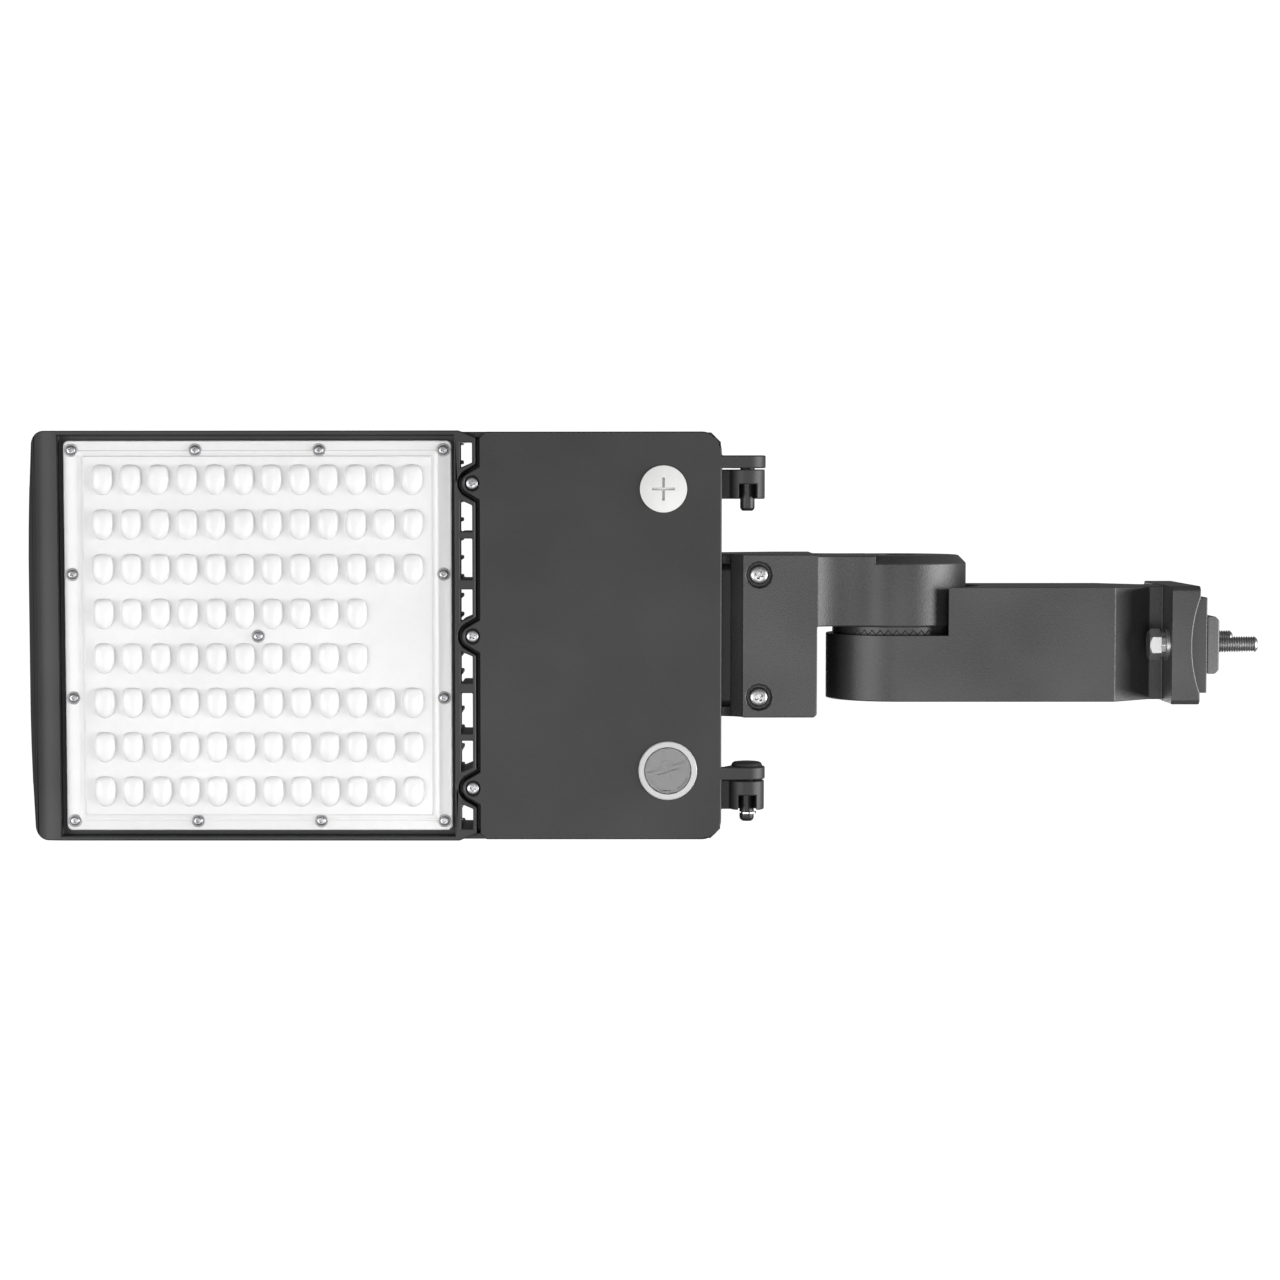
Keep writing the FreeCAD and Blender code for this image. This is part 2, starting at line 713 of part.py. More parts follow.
def lens_screw_places():
    """The lens screws: four along each side of the flange, and one in the middle."""
    reach_x = lens_l / 2 - lens_screw_end
    reach_y = lens_w / 2 - lens_screw_side
    steps = (-1.0, -1 / 3, 1 / 3, 1.0)
    ring = [(a, b) for a in steps for b in steps if 1.0 in (abs(a), abs(b))]
    return [(lens_x + a * reach_x, b * reach_y) for a, b in ring + [(0.0, 0.0)]]


def board_screw_places():
    """The two screws that hold the board by itself."""
    return [(lens_x + s * board_screw_x, s * board_screw_y) for s in (-1, 1)]


def lugs():
    """The two hinge lugs on the box's rear wall, each open below where its pin's tail shows."""
    shapes = []
    for arm_y in hinge_arms:
        y0 = arm_y + hinge_arm_t + hinge_gap
        y1 = y0 + lug_len
        barrel = rod(lug_r, (hinge_x, y0, hinge_z), (hinge_x, y1, hinge_z))
        root = box((box_x1 - 2, hinge_x), (y0, y1), (hinge_z - 2, hinge_z + lug_r))
        slot = box((hinge_x - pin_d * 0.62, hinge_x + pin_d * 0.62), ((y0 + y1) / 2, y1 + 1),
                   (face_z - 1, hinge_z))
        bore = bar(16, around(16, pin_d / 2 + pin_fit), (hinge_x, y0 - 1, hinge_z),
                   (hinge_x, y1 + 1, hinge_z))
        shapes.append(barrel.fuse(root).cut(slot).cut(bore))
    return shapes


def tongue():
    """The hollow tongue on the rear wall that the bracket grips, with its two screw bosses."""
    z0 = tongue_z0()
    x1 = box_x1 + tongue_len
    half = tongue_w / 2
    wall = tongue_wall
    outer = eased((box_x1 - 1, x1), (-half, half), (z0, z0 + tongue_h), 3.0, "x")
    inner = eased((box_x1 - 1, x1 + 1), (wall - half, half - wall),
                  (z0 + wall, z0 + tongue_h - wall), 2.0, "x")
    shape = outer.cut(inner)
    for x, y in bracket_screw_places():
        boss = bar(8, bracket_screw_d, (x, y - head_y, z0 + 1), (x, y - head_y, z0 + tongue_boss_h))
        shape = shape.fuse(boss.common(outer))
    for x, y in bracket_screw_places():
        shape = shape.cut(bar(8, bracket_screw_d / 2, (x, y - head_y, z0 - 1),
                              (x, y - head_y, z0 + tongue_boss_h + 1)))
    return shape


duct_y = 1.9
duct_z = floor_z + tray_floor_t + 1.0
duct_x0 = lens_x + field_l / 2 - 9.0


def housing():
    """One casting: tray with fins, vents, driver box, hinge lugs and tongue."""
    duct_box = box((duct_x0 - 4, tray_x1 + 1), (duct_y - duct_w / 2 - 3, duct_y + duct_w / 2 + 3),
                   (floor_z + 1, duct_z + duct_h + 3))
    body = fused([tray_block(), driver_box_block()])
    body = body.cut(Part.makeCompound(fin_cuts()))
    body = body.fuse(duct_box)
    half = box_w / 2 - box_wall
    bay = eased((door_x0 + box_wall, box_x1 - box_wall), (-half, half), (face_z - 1, roof_z), 5.0)
    gap_half = tray_w / 2 - corner_cut_y
    gap = box((box_x0 + bar_t, door_x0), (-gap_half, gap_half), (face_z - 1, face_z + gap_depth))
    half_l, half_w = lens_l / 2, lens_w / 2
    well_w = tray_w / 2 - rim_t
    well_x0 = lens_x - half_l - (well_w - half_w)
    well = box((well_x0, tray_x1 - back_rim_t), (-well_w, well_w), (face_z - 1, land_z))
    pocket_l, pocket_w = (board_l + board_pocket) / 2, (board_w + board_pocket) / 2
    pocket = box((lens_x - pocket_l, lens_x + pocket_l), (-pocket_w, pocket_w), (land_z - 1, floor_z))
    cuts = [bay, gap, well, pocket] + vent_slots()
    duct_half = duct_w / 2
    cuts.append(box((duct_x0, door_x0 + box_wall + 1), (duct_y - duct_half, duct_y + duct_half),
                    (duct_z, duct_z + duct_h)))
    cuts.append(box((duct_x0, duct_x0 + 8), (duct_y - duct_half, duct_y + duct_half),
                    (floor_z - 1, duct_z + 1)))
    for y in ear_places:
        z = (face_z - 1, face_z + gap_depth)
        cuts.append(only_ear(ear_shape(y, door_gap, *z), y, door_x0, *z))
    for x, y in lens_screw_places() + board_screw_places():
        cuts.append(bar(6, lens_screw_d / 2, (x, y, land_z - 1), (x, y, floor_z + tray_floor_t - 1)))
    body = body.cut(Part.makeCompound(cuts))
    sensor_post = bar(12, 5.0, (box_x1 - window_x, window_y, sensor_top()),
                      (box_x1 - window_x, window_y, roof_z + 1))
    adds = [tongue(), sensor_post] + lugs()
    for y in ear_places:
        z = (face_z + ear_t, face_z + gap_depth + 1)
        adds.append(only_ear(ear_shape(y, 0.0, *z), y, door_x0 + 0.5, *z))
    body = fused([body] + adds)
    holes = [bar(8, door_screw_d / 2, (ear_x, y, face_z), (ear_x, y, face_z + ear_t + 9))
             for y in ear_places]
    holes.append(bar(12, wireway_d / 2, (box_x1 - box_wall - 1, 0, entry_z()),
                     (box_x1 + 2, 0, entry_z())))
    for x, y in driver_screw_places():
        holes.append(bar(8, driver_screw_d / 2, (x, y, roof_z - 1),
                         (x, y, roof_z + driver_screw_bite + 0.2)))
    return body.cut(Part.makeCompound(holes))


# Lens, board and light sources

def optic_places():
    """The centres of the optics; the two middle rows stop short of the board's connector."""
    places = []
    for i in range(optic_cols):
        for j in range(optic_rows):
            middle = j in (optic_rows // 2 - 1, optic_rows // 2)
            if middle and i >= optic_cols - connector_cols:
                continue
            places.append((lens_x + (i - (optic_cols - 1) / 2) * optic_pitch_x,
                           (j - (optic_rows - 1) / 2) * optic_pitch_y))
    return places


def egg(x, y, z, share):
    """A six-sided egg outline, blunt at one end and narrow at the other, for one optic."""
    half_w, half_l = optic_w / 2 * share, optic_l / 2 * share
    profile = ((0.75, -1.0), (1.0, -0.1), (0.5, 1.0))
    right = [(a * half_w, b * half_l) for a, b in profile]
    left = [(-a, b) for a, b in reversed(right)]
    return [Vector(x + a, y + b, z) for a, b in right + left]


def closed(rings):
    """A solid through rings of points that are scaled copies of each other, so all faces are flat."""
    outlines = [rings[0], rings[-1]]
    for low, high in zip(rings, rings[1:]):
        count = len(low)
        outlines += [[low[i], low[(i + 1) % count], high[(i + 1) % count], high[i]]
                     for i in range(count)]
    faces = [Part.Face(Part.makePolygon(points + [points[0]])) for points in outlines]
    return Part.makeSolid(Part.makeShell(faces))


def optics(z):
    """The raised optics, each a blunt dome that leans towards one end."""
    lean = optic_w * 0.06
    return [closed([egg(x, y, z + 0.5, 1.0), egg(x, y - lean, z - optic_h, 0.62)])
            for x, y in optic_places()]


def lens_plate():
    """One clear moulding: flange, raised field, optics, screw rings and a middle post."""
    x0, x1 = lens_x - lens_l / 2, lens_x + lens_l / 2
    top = lens_z + flange_lens_t
    flange = eased((x0, x1), (-lens_w / 2, lens_w / 2), (lens_z, top), lens_corner)
    half_l, half_w = field_l / 2, field_w / 2
    field = box((lens_x - half_l, lens_x + half_l), (-half_w, half_w), (lens_z - field_rise, top))
    hollow = box((lens_x - half_l + 2, lens_x + half_l - 2), (2 - half_w, half_w - 2),
                 (lens_z - field_rise + field_t, top + 1))
    post = bar(8, 4.0, (lens_x, 0, lens_z), (lens_x, 0, floor_z - board_t))
    plate = fused([flange, field]).cut(hollow)
    plate = plate.fuse([post] + optics(lens_z - field_rise))
    holes = [bar(6, lens_screw_d / 2 + 0.2, (x, y, face_z - 1), (x, y, land_z + 4))
             for x, y in lens_screw_places()]
    return plate.cut(Part.makeCompound(holes))


def lens_gasket():
    """Flat rubber ring between lens flange and tray, inside the line of the screws."""
    z = (lens_z + flange_lens_t, land_z)
    clear = lens_screw_d / 2 + 0.3
    half_l = lens_l / 2 - lens_screw_end - clear
    half_w = lens_w / 2 - lens_screw_side - clear
    wide = gasket_w
    outer = eased((lens_x - half_l, lens_x + half_l), (-half_w, half_w), z, 2.0)
    return outer.cut(eased((lens_x - half_l + wide, lens_x + half_l - wide),
                           (wide - half_w, half_w - wide), (z[0] - 1, z[1] + 1), 1.0))


def lens_screws():
    """Thirteen pan head screws through the lens into the tray."""
    screws = []
    for x, y in lens_screw_places():
        middle = y == 0.0
        seat = lens_z - (field_rise if middle else 0.0)
        head = bar(8, lens_screw_head_d / 2, (x, y, seat - lens_screw_head_h), (x, y, seat))
        shank = bar(6, lens_screw_d / 2, (x, y, seat - 1), (x, y, floor_z + tray_floor_t - 1.5))
        screws.append(fused([head, shank]))
    return Part.makeCompound(screws)


def led_board():
    """Metal-cored board, white on its light side, in the tray's pocket."""
    board = box((lens_x - board_l / 2, lens_x + board_l / 2), (-board_w / 2, board_w / 2),
                (floor_z - board_t, floor_z))
    places = board_screw_places() + [lens_screw_places()[-1]]
    holes = [bar(6, lens_screw_d / 2 + 0.2, (x, y, floor_z - 3), (x, y, floor_z + 1))
             for x, y in places]
    holes += [bar(6, lead_d / 2 + 0.3, (x, y, floor_z - 3), (x, y, floor_z + 1))
              for x, y in lead_tops()]
    return board.cut(Part.makeCompound(holes))


def led_packages():
    """One square light source under each optic."""
    half = led_size / 2
    z1 = floor_z - board_t
    return Part.makeCompound([box((x - half, x + half), (y - half, y + half), (z1 - led_t, z1))
                              for x, y in optic_places()])


def board_screws():
    """Two low head screws that hold the board while the lens is off."""
    seat = floor_z - board_t
    screws = []
    for x, y in board_screw_places():
        head = bar(8, 2.6, (x, y, seat - 1.2), (x, y, seat))
        shank = bar(6, lens_screw_d / 2, (x, y, seat - 0.5), (x, y, floor_z + tray_floor_t - 1.5))
        screws.append(fused([head, shank]))
    return Part.makeCompound(screws)


def lead_tops():
    """Where the two leads come up through the board."""
    return [(duct_x0 + 4.0, duct_y + s * 3.7) for s in (-1, 1)]


def board_connector():
    """Two poke-in wire connectors on the board."""
    z1 = floor_z - board_t
    blocks = []
    for x, y in lead_tops():
        blocks.append(box((x - 4, x + 4), (y - 2.8, y + 2.8), (z1 - 2.0, z1)))
    return Part.makeCompound(blocks)


def wire(points, radius, bend):
    """A six-sided wire along straight runs, with its corners cut across."""
    points = [Vector(*p) for p in points]
    route = [points[0]]
    for before, corner, after in zip(points, points[1:], points[2:]):
        route.append(corner + (before - corner).normalize() * bend)
        route.append(corner + (after - corner).normalize() * bend)
    route.append(points[-1])
    ring = [points[0] + Vector(radius * math.cos(k * math.pi / 3), radius * math.sin(k * math.pi / 3), 0)
            for k in range(7)]
    right_corners = 1
    return Part.makePolygon(route).makePipeShell([Part.makePolygon(ring)], True, False, right_corners)


def board_leads():
    """Two leads from the board through the duct to the driver."""
    z = duct_z + duct_h / 2
    driver_z = roof_z - driver_h
    wires = []
    for x, y in lead_tops():
        end_x = door_x0 + driver_from_front + lead_reach
        route = [(x, y, floor_z - board_t), (x, y, z), (end_x, y, z), (end_x, y, driver_z)]
        wires.append(wire(route, lead_d / 2, lead_bend))
    return Part.makeCompound(wires)


def lead_grommet():
    """Rubber grommet where the leads enter the driver box."""
    x1 = door_x0 + box_wall
    half = duct_w / 2
    body = box((x1 - 6, x1), (duct_y - half, duct_y + half), (duct_z, duct_z + duct_h))
    z = duct_z + duct_h / 2
    lip = eased((x1, x1 + 2), (duct_y - half - 2, duct_y + half + 2),
                (duct_z - 2, duct_z + duct_h + 2), 2.0, "x")
    holes = [bar(8, lead_d / 2 + 0.2, (x1 - 7, y, z), (x1 + 3, y, z)) for x, y in lead_tops()]
    return fused([body, lip]).cut(Part.makeCompound(holes))


# Driver door

def door_outline(z0, z1):
    """The door's flat outline, without its ears."""
    half = box_w / 2
    slab = box((door_x0, box_x1), (-half, half), (z0, z1))
    front = [e for e in slab.Edges if abs(e.CenterOfMass.x - door_x0) < 0.1
             and abs(e.CenterOfMass.z - (z0 + z1) / 2) < 0.1]
    slab = slab.makeChamfer(door_chamfer, front)
    rear = [e for e in slab.Edges if abs(e.CenterOfMass.x - box_x1) < 0.1
            and abs(e.CenterOfMass.z - (z0 + z1) / 2) < 0.1]
    return slab.makeFillet(box_corner_r, rear)


def hinge_arm(y):
    """A hinge arm of the door: round about the pin and low where it passes the box's wall."""
    r = hinge_arm_r
    s = r * math.sqrt(0.5)
    x, z = hinge_x, hinge_z
    low = z - r + door_t
    back = box_x1 - 2
    moves = [(x, y, z - r), ((x + r, y, z), (x, y, z + r)), ((x - r * 0.38, y, z + r * 0.925),
             (x - s, y, z + s)), (box_x1, y, low + 1.0), (box_x1, y, low), (back, y, low)]
    return extruded((back, y, z - r), moves, (0, hinge_arm_t, 0))


def boss_ring(x, y, outer, depth):
    """A raised ring on the door's inside round a plug."""
    return bar(16, outer, (x, y, face_z + 1), (x, y, face_z + depth))


blank_place = (box_x1 - blank_x, blank_y)
window_place = (box_x1 - window_x, window_y)
boss_depth = plug_depth - tab_t - 0.2


def driver_door():
    """Die-cast door with ears, hinge arms, an inner lip, cross ribs and two plug bosses."""
    door = door_outline(face_z, face_z + door_t)
    z = (face_z, face_z + ear_t)
    ears = [only_ear(ear_shape(y, 0.0, *z), y, door_x0, *z) for y in ear_places]
    ears += [ear_shape(y, 0.0, face_z, face_z + door_t) for y in ear_places]
    half = box_w / 2 - box_wall - 2
    x0, x1 = door_x0 + box_wall + 2, box_x1 - box_wall - 2
    z = (face_z + door_t - 1, face_z + door_t + rib_h)
    lip = eased((x0, x1), (-half, half), z, 4.0).cut(
        eased((x0 + rib_t, x1 - rib_t), (rib_t - half, half - rib_t), (z[0] - 1, z[1] + 1), 3.2))
    ribs = [box((x0 + 1, x1 - 1), (y - rib_t / 2, y + rib_t / 2), z) for y in (-45.0, 0.0, 45.0)]
    bosses = [boss_ring(*blank_place, plug_neck_d / 2 + 4, boss_depth),
              boss_ring(*window_place, window_neck_d / 2 + 5, boss_depth)]
    arms = [hinge_arm(y) for y in hinge_arms]
    swell_y = hinge_arms[1]
    swell = bar(16, arm_swell_r, (hinge_x, swell_y - arm_swell, hinge_z),
                (hinge_x, swell_y + 1, hinge_z))
    outer = [e for e in swell.Edges if e.BoundBox.YMax < swell_y]
    arms.append(swell.makeChamfer(arm_swell / 2, outer))
    door = fused([door] + ears + [lip] + ribs + bosses + arms)
    bx, by = blank_place
    wx, wy = window_place
    notch = box((bx - tab_r - 0.4, bx + tab_r + 0.4), (by - 3.4, by + 3.4), (face_z - 1, 0))
    cuts = [bar(24, around(24, plug_neck_d / 2 + plug_fit), (bx, by, face_z - 1), (bx, by, 0)),
            bar(24, plug_neck_d / 2 + 2, (bx, by, face_z - 1), (bx, by, face_z + seal_t)),
            notch.common(bar(12, tab_r + 0.6, (bx, by, face_z + seal_t), (bx, by, 0))),
            bar(24, window_neck_d / 2 + 2.4, (wx, wy, face_z - 1), (wx, wy, 0))]
    for y in ear_places:
        cuts.append(bar(12, door_screw_head_d / 2 + 0.6, (ear_x, y, face_z - 1),
                        (ear_x, y, face_z + ear_recess)))
        cuts.append(bar(8, door_screw_d / 2 + 0.2, (ear_x, y, face_z), (ear_x, y, 0)))
    for y in hinge_arms:
        cuts.append(bar(16, pin_d / 2, (hinge_x, y + pin_seat_wall, hinge_z),
                        (hinge_x, y + hinge_arm_t + 1, hinge_z)))
    return door.cut(Part.makeCompound(cuts))


def door_gasket():
    """Rubber ring between the door and the box's rim."""
    z = (face_z + door_t, rim_z)
    inset = (box_wall - door_gasket_w) / 2
    half = box_w / 2 - inset
    outer = eased((door_x0 + inset, box_x1 - inset), (-half, half), z, 6.0)
    w = door_gasket_w
    inner = eased((door_x0 + inset + w, box_x1 - inset - w), (w - half, half - w),
                  (z[0] - 1, z[1] + 1), 4.0)
    return outer.cut(inner)


def door_screws():
    """Three captive screws, one in each ear."""
    seat = face_z + ear_recess
    screws = []
    for y in ear_places:
        head = bar(12, door_screw_head_d / 2, (ear_x, y, seat - door_screw_head_h),
                   (ear_x, y, seat))
        shank = bar(8, door_screw_d / 2, (ear_x, y, seat - 1), (ear_x, y, seat + door_screw_len - 1))
        screws.append(fused([head, shank]))
    return Part.makeCompound(screws)


def hinge_pin(arm_y):
    """A hinge pin fixed in a door arm, with a rounded tail past the lug."""
    y0 = arm_y + pin_seat_wall
    y1 = arm_y + hinge_arm_t + hinge_gap + lug_len + pin_tail
    pin = bar(16, pin_d / 2, (hinge_x, y0, hinge_z), (hinge_x, y1, hinge_z))
    tail = [e for e in pin.Edges if abs(e.BoundBox.YMin - y1) < 0.1]
    return pin.makeChamfer(1.2, tail)


def pin_groove_y():
    """Where the clip sits on the lower pin."""
    return hinge_arms[1] + hinge_arm_t + hinge_gap + lug_len + 1.6


def hinge_pin_lower():
    """The lower pin, with the groove for its clip."""
    y = pin_groove_y()
    groove = rod(pin_d, (hinge_x, y, hinge_z), (hinge_x, y + clip_t, hinge_z))
    groove = groove.cut(bar(16, pin_d / 2 - 1, (hinge_x, y - 1, hinge_z), (hinge_x, y + 5, hinge_z)))
    return hinge_pin(hinge_arms[1]).cut(groove)


def pin_clip():
    """Spring clip pushed into the lower pin's groove from behind; it keeps the door on."""
    y = pin_groove_y()
    ring = bar(24, clip_d / 2, (hinge_x, y, hinge_z), (hinge_x, y + clip_t, hinge_z))
    hole = bar(16, pin_d / 2 - 1, (hinge_x, y - 1, hinge_z), (hinge_x, y + 5, hinge_z))
    mouth = box((hinge_x - clip_d, hinge_x - 2.6), (y - 1, y + 5),
                (hinge_z - clip_d, hinge_z + clip_d))
    return ring.cut(hole).cut(mouth)


def cross_slot(x, y, z, turn):
    """A crossed slot for a screwdriver or coin."""
    half_l, half_w = plug_slot_l / 2, plug_slot_w / 2
    depth = (z - 1, z + plug_slot_depth)
    cross = box((x - half_l, x + half_l), (y - half_w, y + half_w), depth).fuse(
        box((x - half_w, x + half_w), (y - half_l, y + half_l), depth))
    cross.rotate(Vector(x, y, z), Vector(0, 0, 1), turn)
    return cross


def blank_plug():
    """White quarter-turn plug with two tabs behind the door."""
    x, y = blank_place
    top = face_z - plug_proud
    head = bar(24, blank_d / 2, (x, y, top), (x, y, face_z))
    neck = rod(plug_neck_d / 2, (x, y, face_z - 0.5), (x, y, face_z + plug_depth))
    z1 = face_z + plug_depth
    tab = box((x - 3, x + 3), (y - tab_r, y + tab_r), (z1 - tab_t, z1))
    tab = tab.common(bar(12, tab_r, (x, y, z1 - tab_t), (x, y, z1)))
    return fused([head, neck, tab]).cut(cross_slot(x, y, top, 0))


def blank_plug_seal():
    """Rubber ring in the door under the blank plug's head."""
    x, y = blank_place
    z = (face_z, face_z + seal_t)
    ring = bar(24, plug_neck_d / 2 + 1.9, (x, y, z[0]), (x, y, z[1]))
    hole_r = around(24, plug_neck_d / 2 + plug_fit)
    return ring.cut(bar(24, hole_r, (x, y, z[0] - 1), (x, y, z[1] + 1)))


def window_ring():
    """Translucent socket ring pressed into the door, in which the clear plug turns."""
    x, y = window_place
    top = face_z - plug_proud
    flange = bar(24, window_ring_d / 2, (x, y, top), (x, y, face_z))
    sleeve = bar(24, window_neck_d / 2 + 2.4, (x, y, face_z - 0.5), (x, y, face_z + boss_depth))
    ring = fused([flange, sleeve])
    ring = ring.cut(bar(24, around(24, window_neck_d / 2 + plug_fit), (x, y, top - 1), (x, y, 0)))
    return ring.cut(bar(24, around(24, window_d / 2 + plug_fit), (x, y, top - 1), (x, y, face_z)))


def window_plug():
    """Clear quarter-turn plug: crossed slot, four pockets and a stud in each."""
    x, y = window_place
    top = face_z - plug_proud
    disc = bar(24, window_d / 2, (x, y, top), (x, y, face_z))
    neck = rod(window_neck_d / 2, (x, y, face_z - 0.5), (x, y, face_z + window_neck_l))
    plug = fused([disc, neck])
    half, reach = pocket_arm_w / 2, window_d / 2
    depth = (top - 1, top + pocket_depth)
    ring = bar(16, pocket_out_r, (x, y, depth[0]), (x, y, depth[1])).cut(
        bar(8, pocket_in_r, (x, y, depth[0]), (x, y, depth[1])))
    bars = box((x - reach, x + reach), (y - half, y + half), depth).fuse(
        box((x - half, x + half), (y - reach, y + reach), depth))
    pockets = ring.cut(bars)
    for k in range(4):
        a = x + stud_circle_r * math.cos(math.radians(45 + 90 * k))
        b = y + stud_circle_r * math.sin(math.radians(45 + 90 * k))
        pockets = pockets.cut(bar(6, stud_d / 2, (a, b, depth[0]), (a, b, depth[1])))
    pockets.rotate(Vector(x, y, top), Vector(0, 0, 1), -window_turn)
    return plug.cut(pockets).cut(cross_slot(x, y, top, -window_turn))


# Electrical pieces

def driver_centre_x():
    """The driver's middle along X."""
    return door_x0 + driver_from_front + driver_w / 2


def driver_back_x():
    """The driver's side that faces the hinges."""
    return driver_centre_x() + driver_w / 2


def pole_places():
    """The middles of the terminal block's three poles, across."""
    return [terminal_y + terminal_size[1] * (k + 0.5) / 3 for k in range(3)]


def driver_screw_places():
    """The screws in the driver's two feet."""
    return [(driver_centre_x(), s * (driver_l + foot_l) / 2) for s in (-1, 1)]


def driver():
    """Metal-cased LED driver hung from the box's roof by a foot at each end."""
    x = driver_centre_x()
    z = (roof_z - driver_h, roof_z)
    case = eased((x - driver_w / 2, x + driver_w / 2), (-driver_l / 2, driver_l / 2), z, 3.0, "y")
    full = driver_l / 2 + foot_l
    feet = eased((x - foot_w / 2, x + foot_w / 2), (-full, full), (roof_z - foot_t, roof_z), 4.0)
    hole_r = driver_screw_d / 2 + 0.2
    holes = [bar(8, hole_r, (a, b, roof_z - foot_t - 1), (a, b, roof_z + 1))
             for a, b in driver_screw_places()]
    return fused([case, feet]).cut(Part.makeCompound(holes))


def driver_screws():
    """A pan head screw in each foot of the driver."""
    seat = roof_z - foot_t
    screws = []
    for x, y in driver_screw_places():
        head = bar(12, driver_screw_head_d / 2, (x, y, seat - driver_screw_head_h), (x, y, seat))
        shank = bar(8, driver_screw_d / 2, (x, y, seat - 1), (x, y, roof_z + driver_screw_bite))
        screws.append(fused([head, shank]))
    return Part.makeCompound(screws)


def surge_protector():
    """Potted surge protector stuck to the roof beside the driver."""
    a, b, h = surge_size
    x0 = driver_back_x() + driver_gap
    return eased((x0, x0 + a), (surge_y, surge_y + b), (roof_z - h, roof_z), 3.0)


def terminal_block():
    """Three-pole terminal block with a wire hole and a screw well for each pole."""
    a, b, h = terminal_size
    x0 = driver_back_x() + driver_gap
    body = box((x0, x0 + a), (terminal_y, terminal_y + b), (roof_z - h, roof_z))
    cuts = []
    for mid in pole_places():
        cuts.append(bar(8, 2.2, (x0 - 1, mid, roof_z - h / 2), (x0 + a + 1, mid, roof_z - h / 2)))
        cuts.append(bar(8, 2.0, (x0 + a / 2, mid, roof_z - h - 1), (x0 + a / 2, mid, roof_z - h / 2)))
    return body.cut(Part.makeCompound(cuts))


def driver_leads():
    """Three leads from the driver's side to the terminal block."""
    x0 = driver_back_x()
    z = roof_z - terminal_size[2] / 2
    return Part.makeCompound([bar(8, lead_d / 2, (x0, mid, z), (x0 + driver_gap + 6, mid, z))
                              for mid in pole_places()])


def sensor_top():
    """The upper face of the sensor module, under its post."""
    return face_z + window_neck_l + sensor_gap + sensor_size[2]


def light_sensor():
    """Small sensor module on a post behind the clear plug, with a round eye."""
    x, y = window_place
    a, b, h = sensor_size
    z1 = sensor_top()
    body = eased((x - a / 2, x + a / 2), (y - b / 2, y + b / 2), (z1 - h, z1), 3.0)
    return fused([body, bar(16, 6.0, (x, y, z1 - h - 3), (x, y, z1 - h + 1))])


def entry_z():
    """The height of the supply entry in the rear wall."""
    return tongue_z0() + tongue_h / 2


def entry_grommet():
    """Rubber grommet in the rear wall where the supply comes in from the bracket."""
    z = entry_z()
    r = wireway_d / 2
    x0, x1 = box_x1 - box_wall, box_x1
    lip = bar(12, r + 3, (x0 - 2, 0, z), (x0, 0, z))
    body = bar(12, r, (x0 - 1, 0, z), (x1 + 2, 0, z))
    return fused([lip, body]).cut(bar(8, r - 4, (x0 - 3, 0, z), (x1 + 3, 0, z)))


on_arm = {
    "pole_arm": pole_arm,
    "pole_adapter": pole_adapter,
    "backing_plate": backing_plate,
    "pole_bolts": pole_bolts,
    "flat_washers": lambda: washers(flat_washer_d, flat_washer_t, flange_x0),
    "lock_washers": lock_washers,
    "pivot_bolt": pivot_bolt,
    "pivot_washer": pivot_washer,
    "pivot_nut": pivot_nut,
    "bracket": bracket,
    "bracket_screws": bracket_screws,
}
on_head = {
    "housing": housing,
    "lens_plate": lens_plate,
    "lens_gasket": lens_gasket,
    "lens_screws": lens_screws,
    "led_board": led_board,
    "led_packages": led_packages,
    "board_screws": board_screws,
    "board_connector": board_connector,
    "board_leads": board_leads,
    "lead_grommet": lead_grommet,
    "driver_door": driver_door,
    "door_gasket": door_gasket,
    "door_screws": door_screws,
    "hinge_pin_upper": lambda: hinge_pin(hinge_arms[0]),
    "hinge_pin_lower": hinge_pin_lower,
    "pin_clip": pin_clip,
    "blank_plug": blank_plug,
    "blank_plug_seal": blank_plug_seal,
    "window_ring": window_ring,
    "window_plug": window_plug,
    "driver": driver,
    "driver_screws": driver_screws,
    "surge_protector": surge_protector,
    "terminal_block": terminal_block,
    "driver_leads": driver_leads,
    "light_sensor": light_sensor,
    "entry_grommet": entry_grommet,
}

os.makedirs("parts", exist_ok=True)
for name, make in on_arm.items():
    make().exportStep(f"parts/{name}.step")
for name, make in on_head.items():
    moved(make(), head_y).exportStep(f"parts/{name}.step")
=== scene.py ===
import math

import bmesh
import bpy
from mathutils import Matrix, Vector


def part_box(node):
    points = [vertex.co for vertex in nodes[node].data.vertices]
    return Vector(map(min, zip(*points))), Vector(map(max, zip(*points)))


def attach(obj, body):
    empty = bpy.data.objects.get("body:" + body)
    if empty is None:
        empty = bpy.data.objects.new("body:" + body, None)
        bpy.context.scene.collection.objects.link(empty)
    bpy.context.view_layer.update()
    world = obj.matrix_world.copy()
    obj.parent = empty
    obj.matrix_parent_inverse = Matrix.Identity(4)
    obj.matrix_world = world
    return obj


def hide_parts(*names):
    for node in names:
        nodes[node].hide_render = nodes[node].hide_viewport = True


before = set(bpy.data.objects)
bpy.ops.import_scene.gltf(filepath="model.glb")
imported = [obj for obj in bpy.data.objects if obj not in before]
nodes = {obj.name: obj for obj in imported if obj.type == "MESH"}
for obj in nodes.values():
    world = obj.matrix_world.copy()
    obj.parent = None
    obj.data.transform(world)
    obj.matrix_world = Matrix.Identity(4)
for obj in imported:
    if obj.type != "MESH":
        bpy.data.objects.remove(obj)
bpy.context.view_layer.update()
mm = 0.001


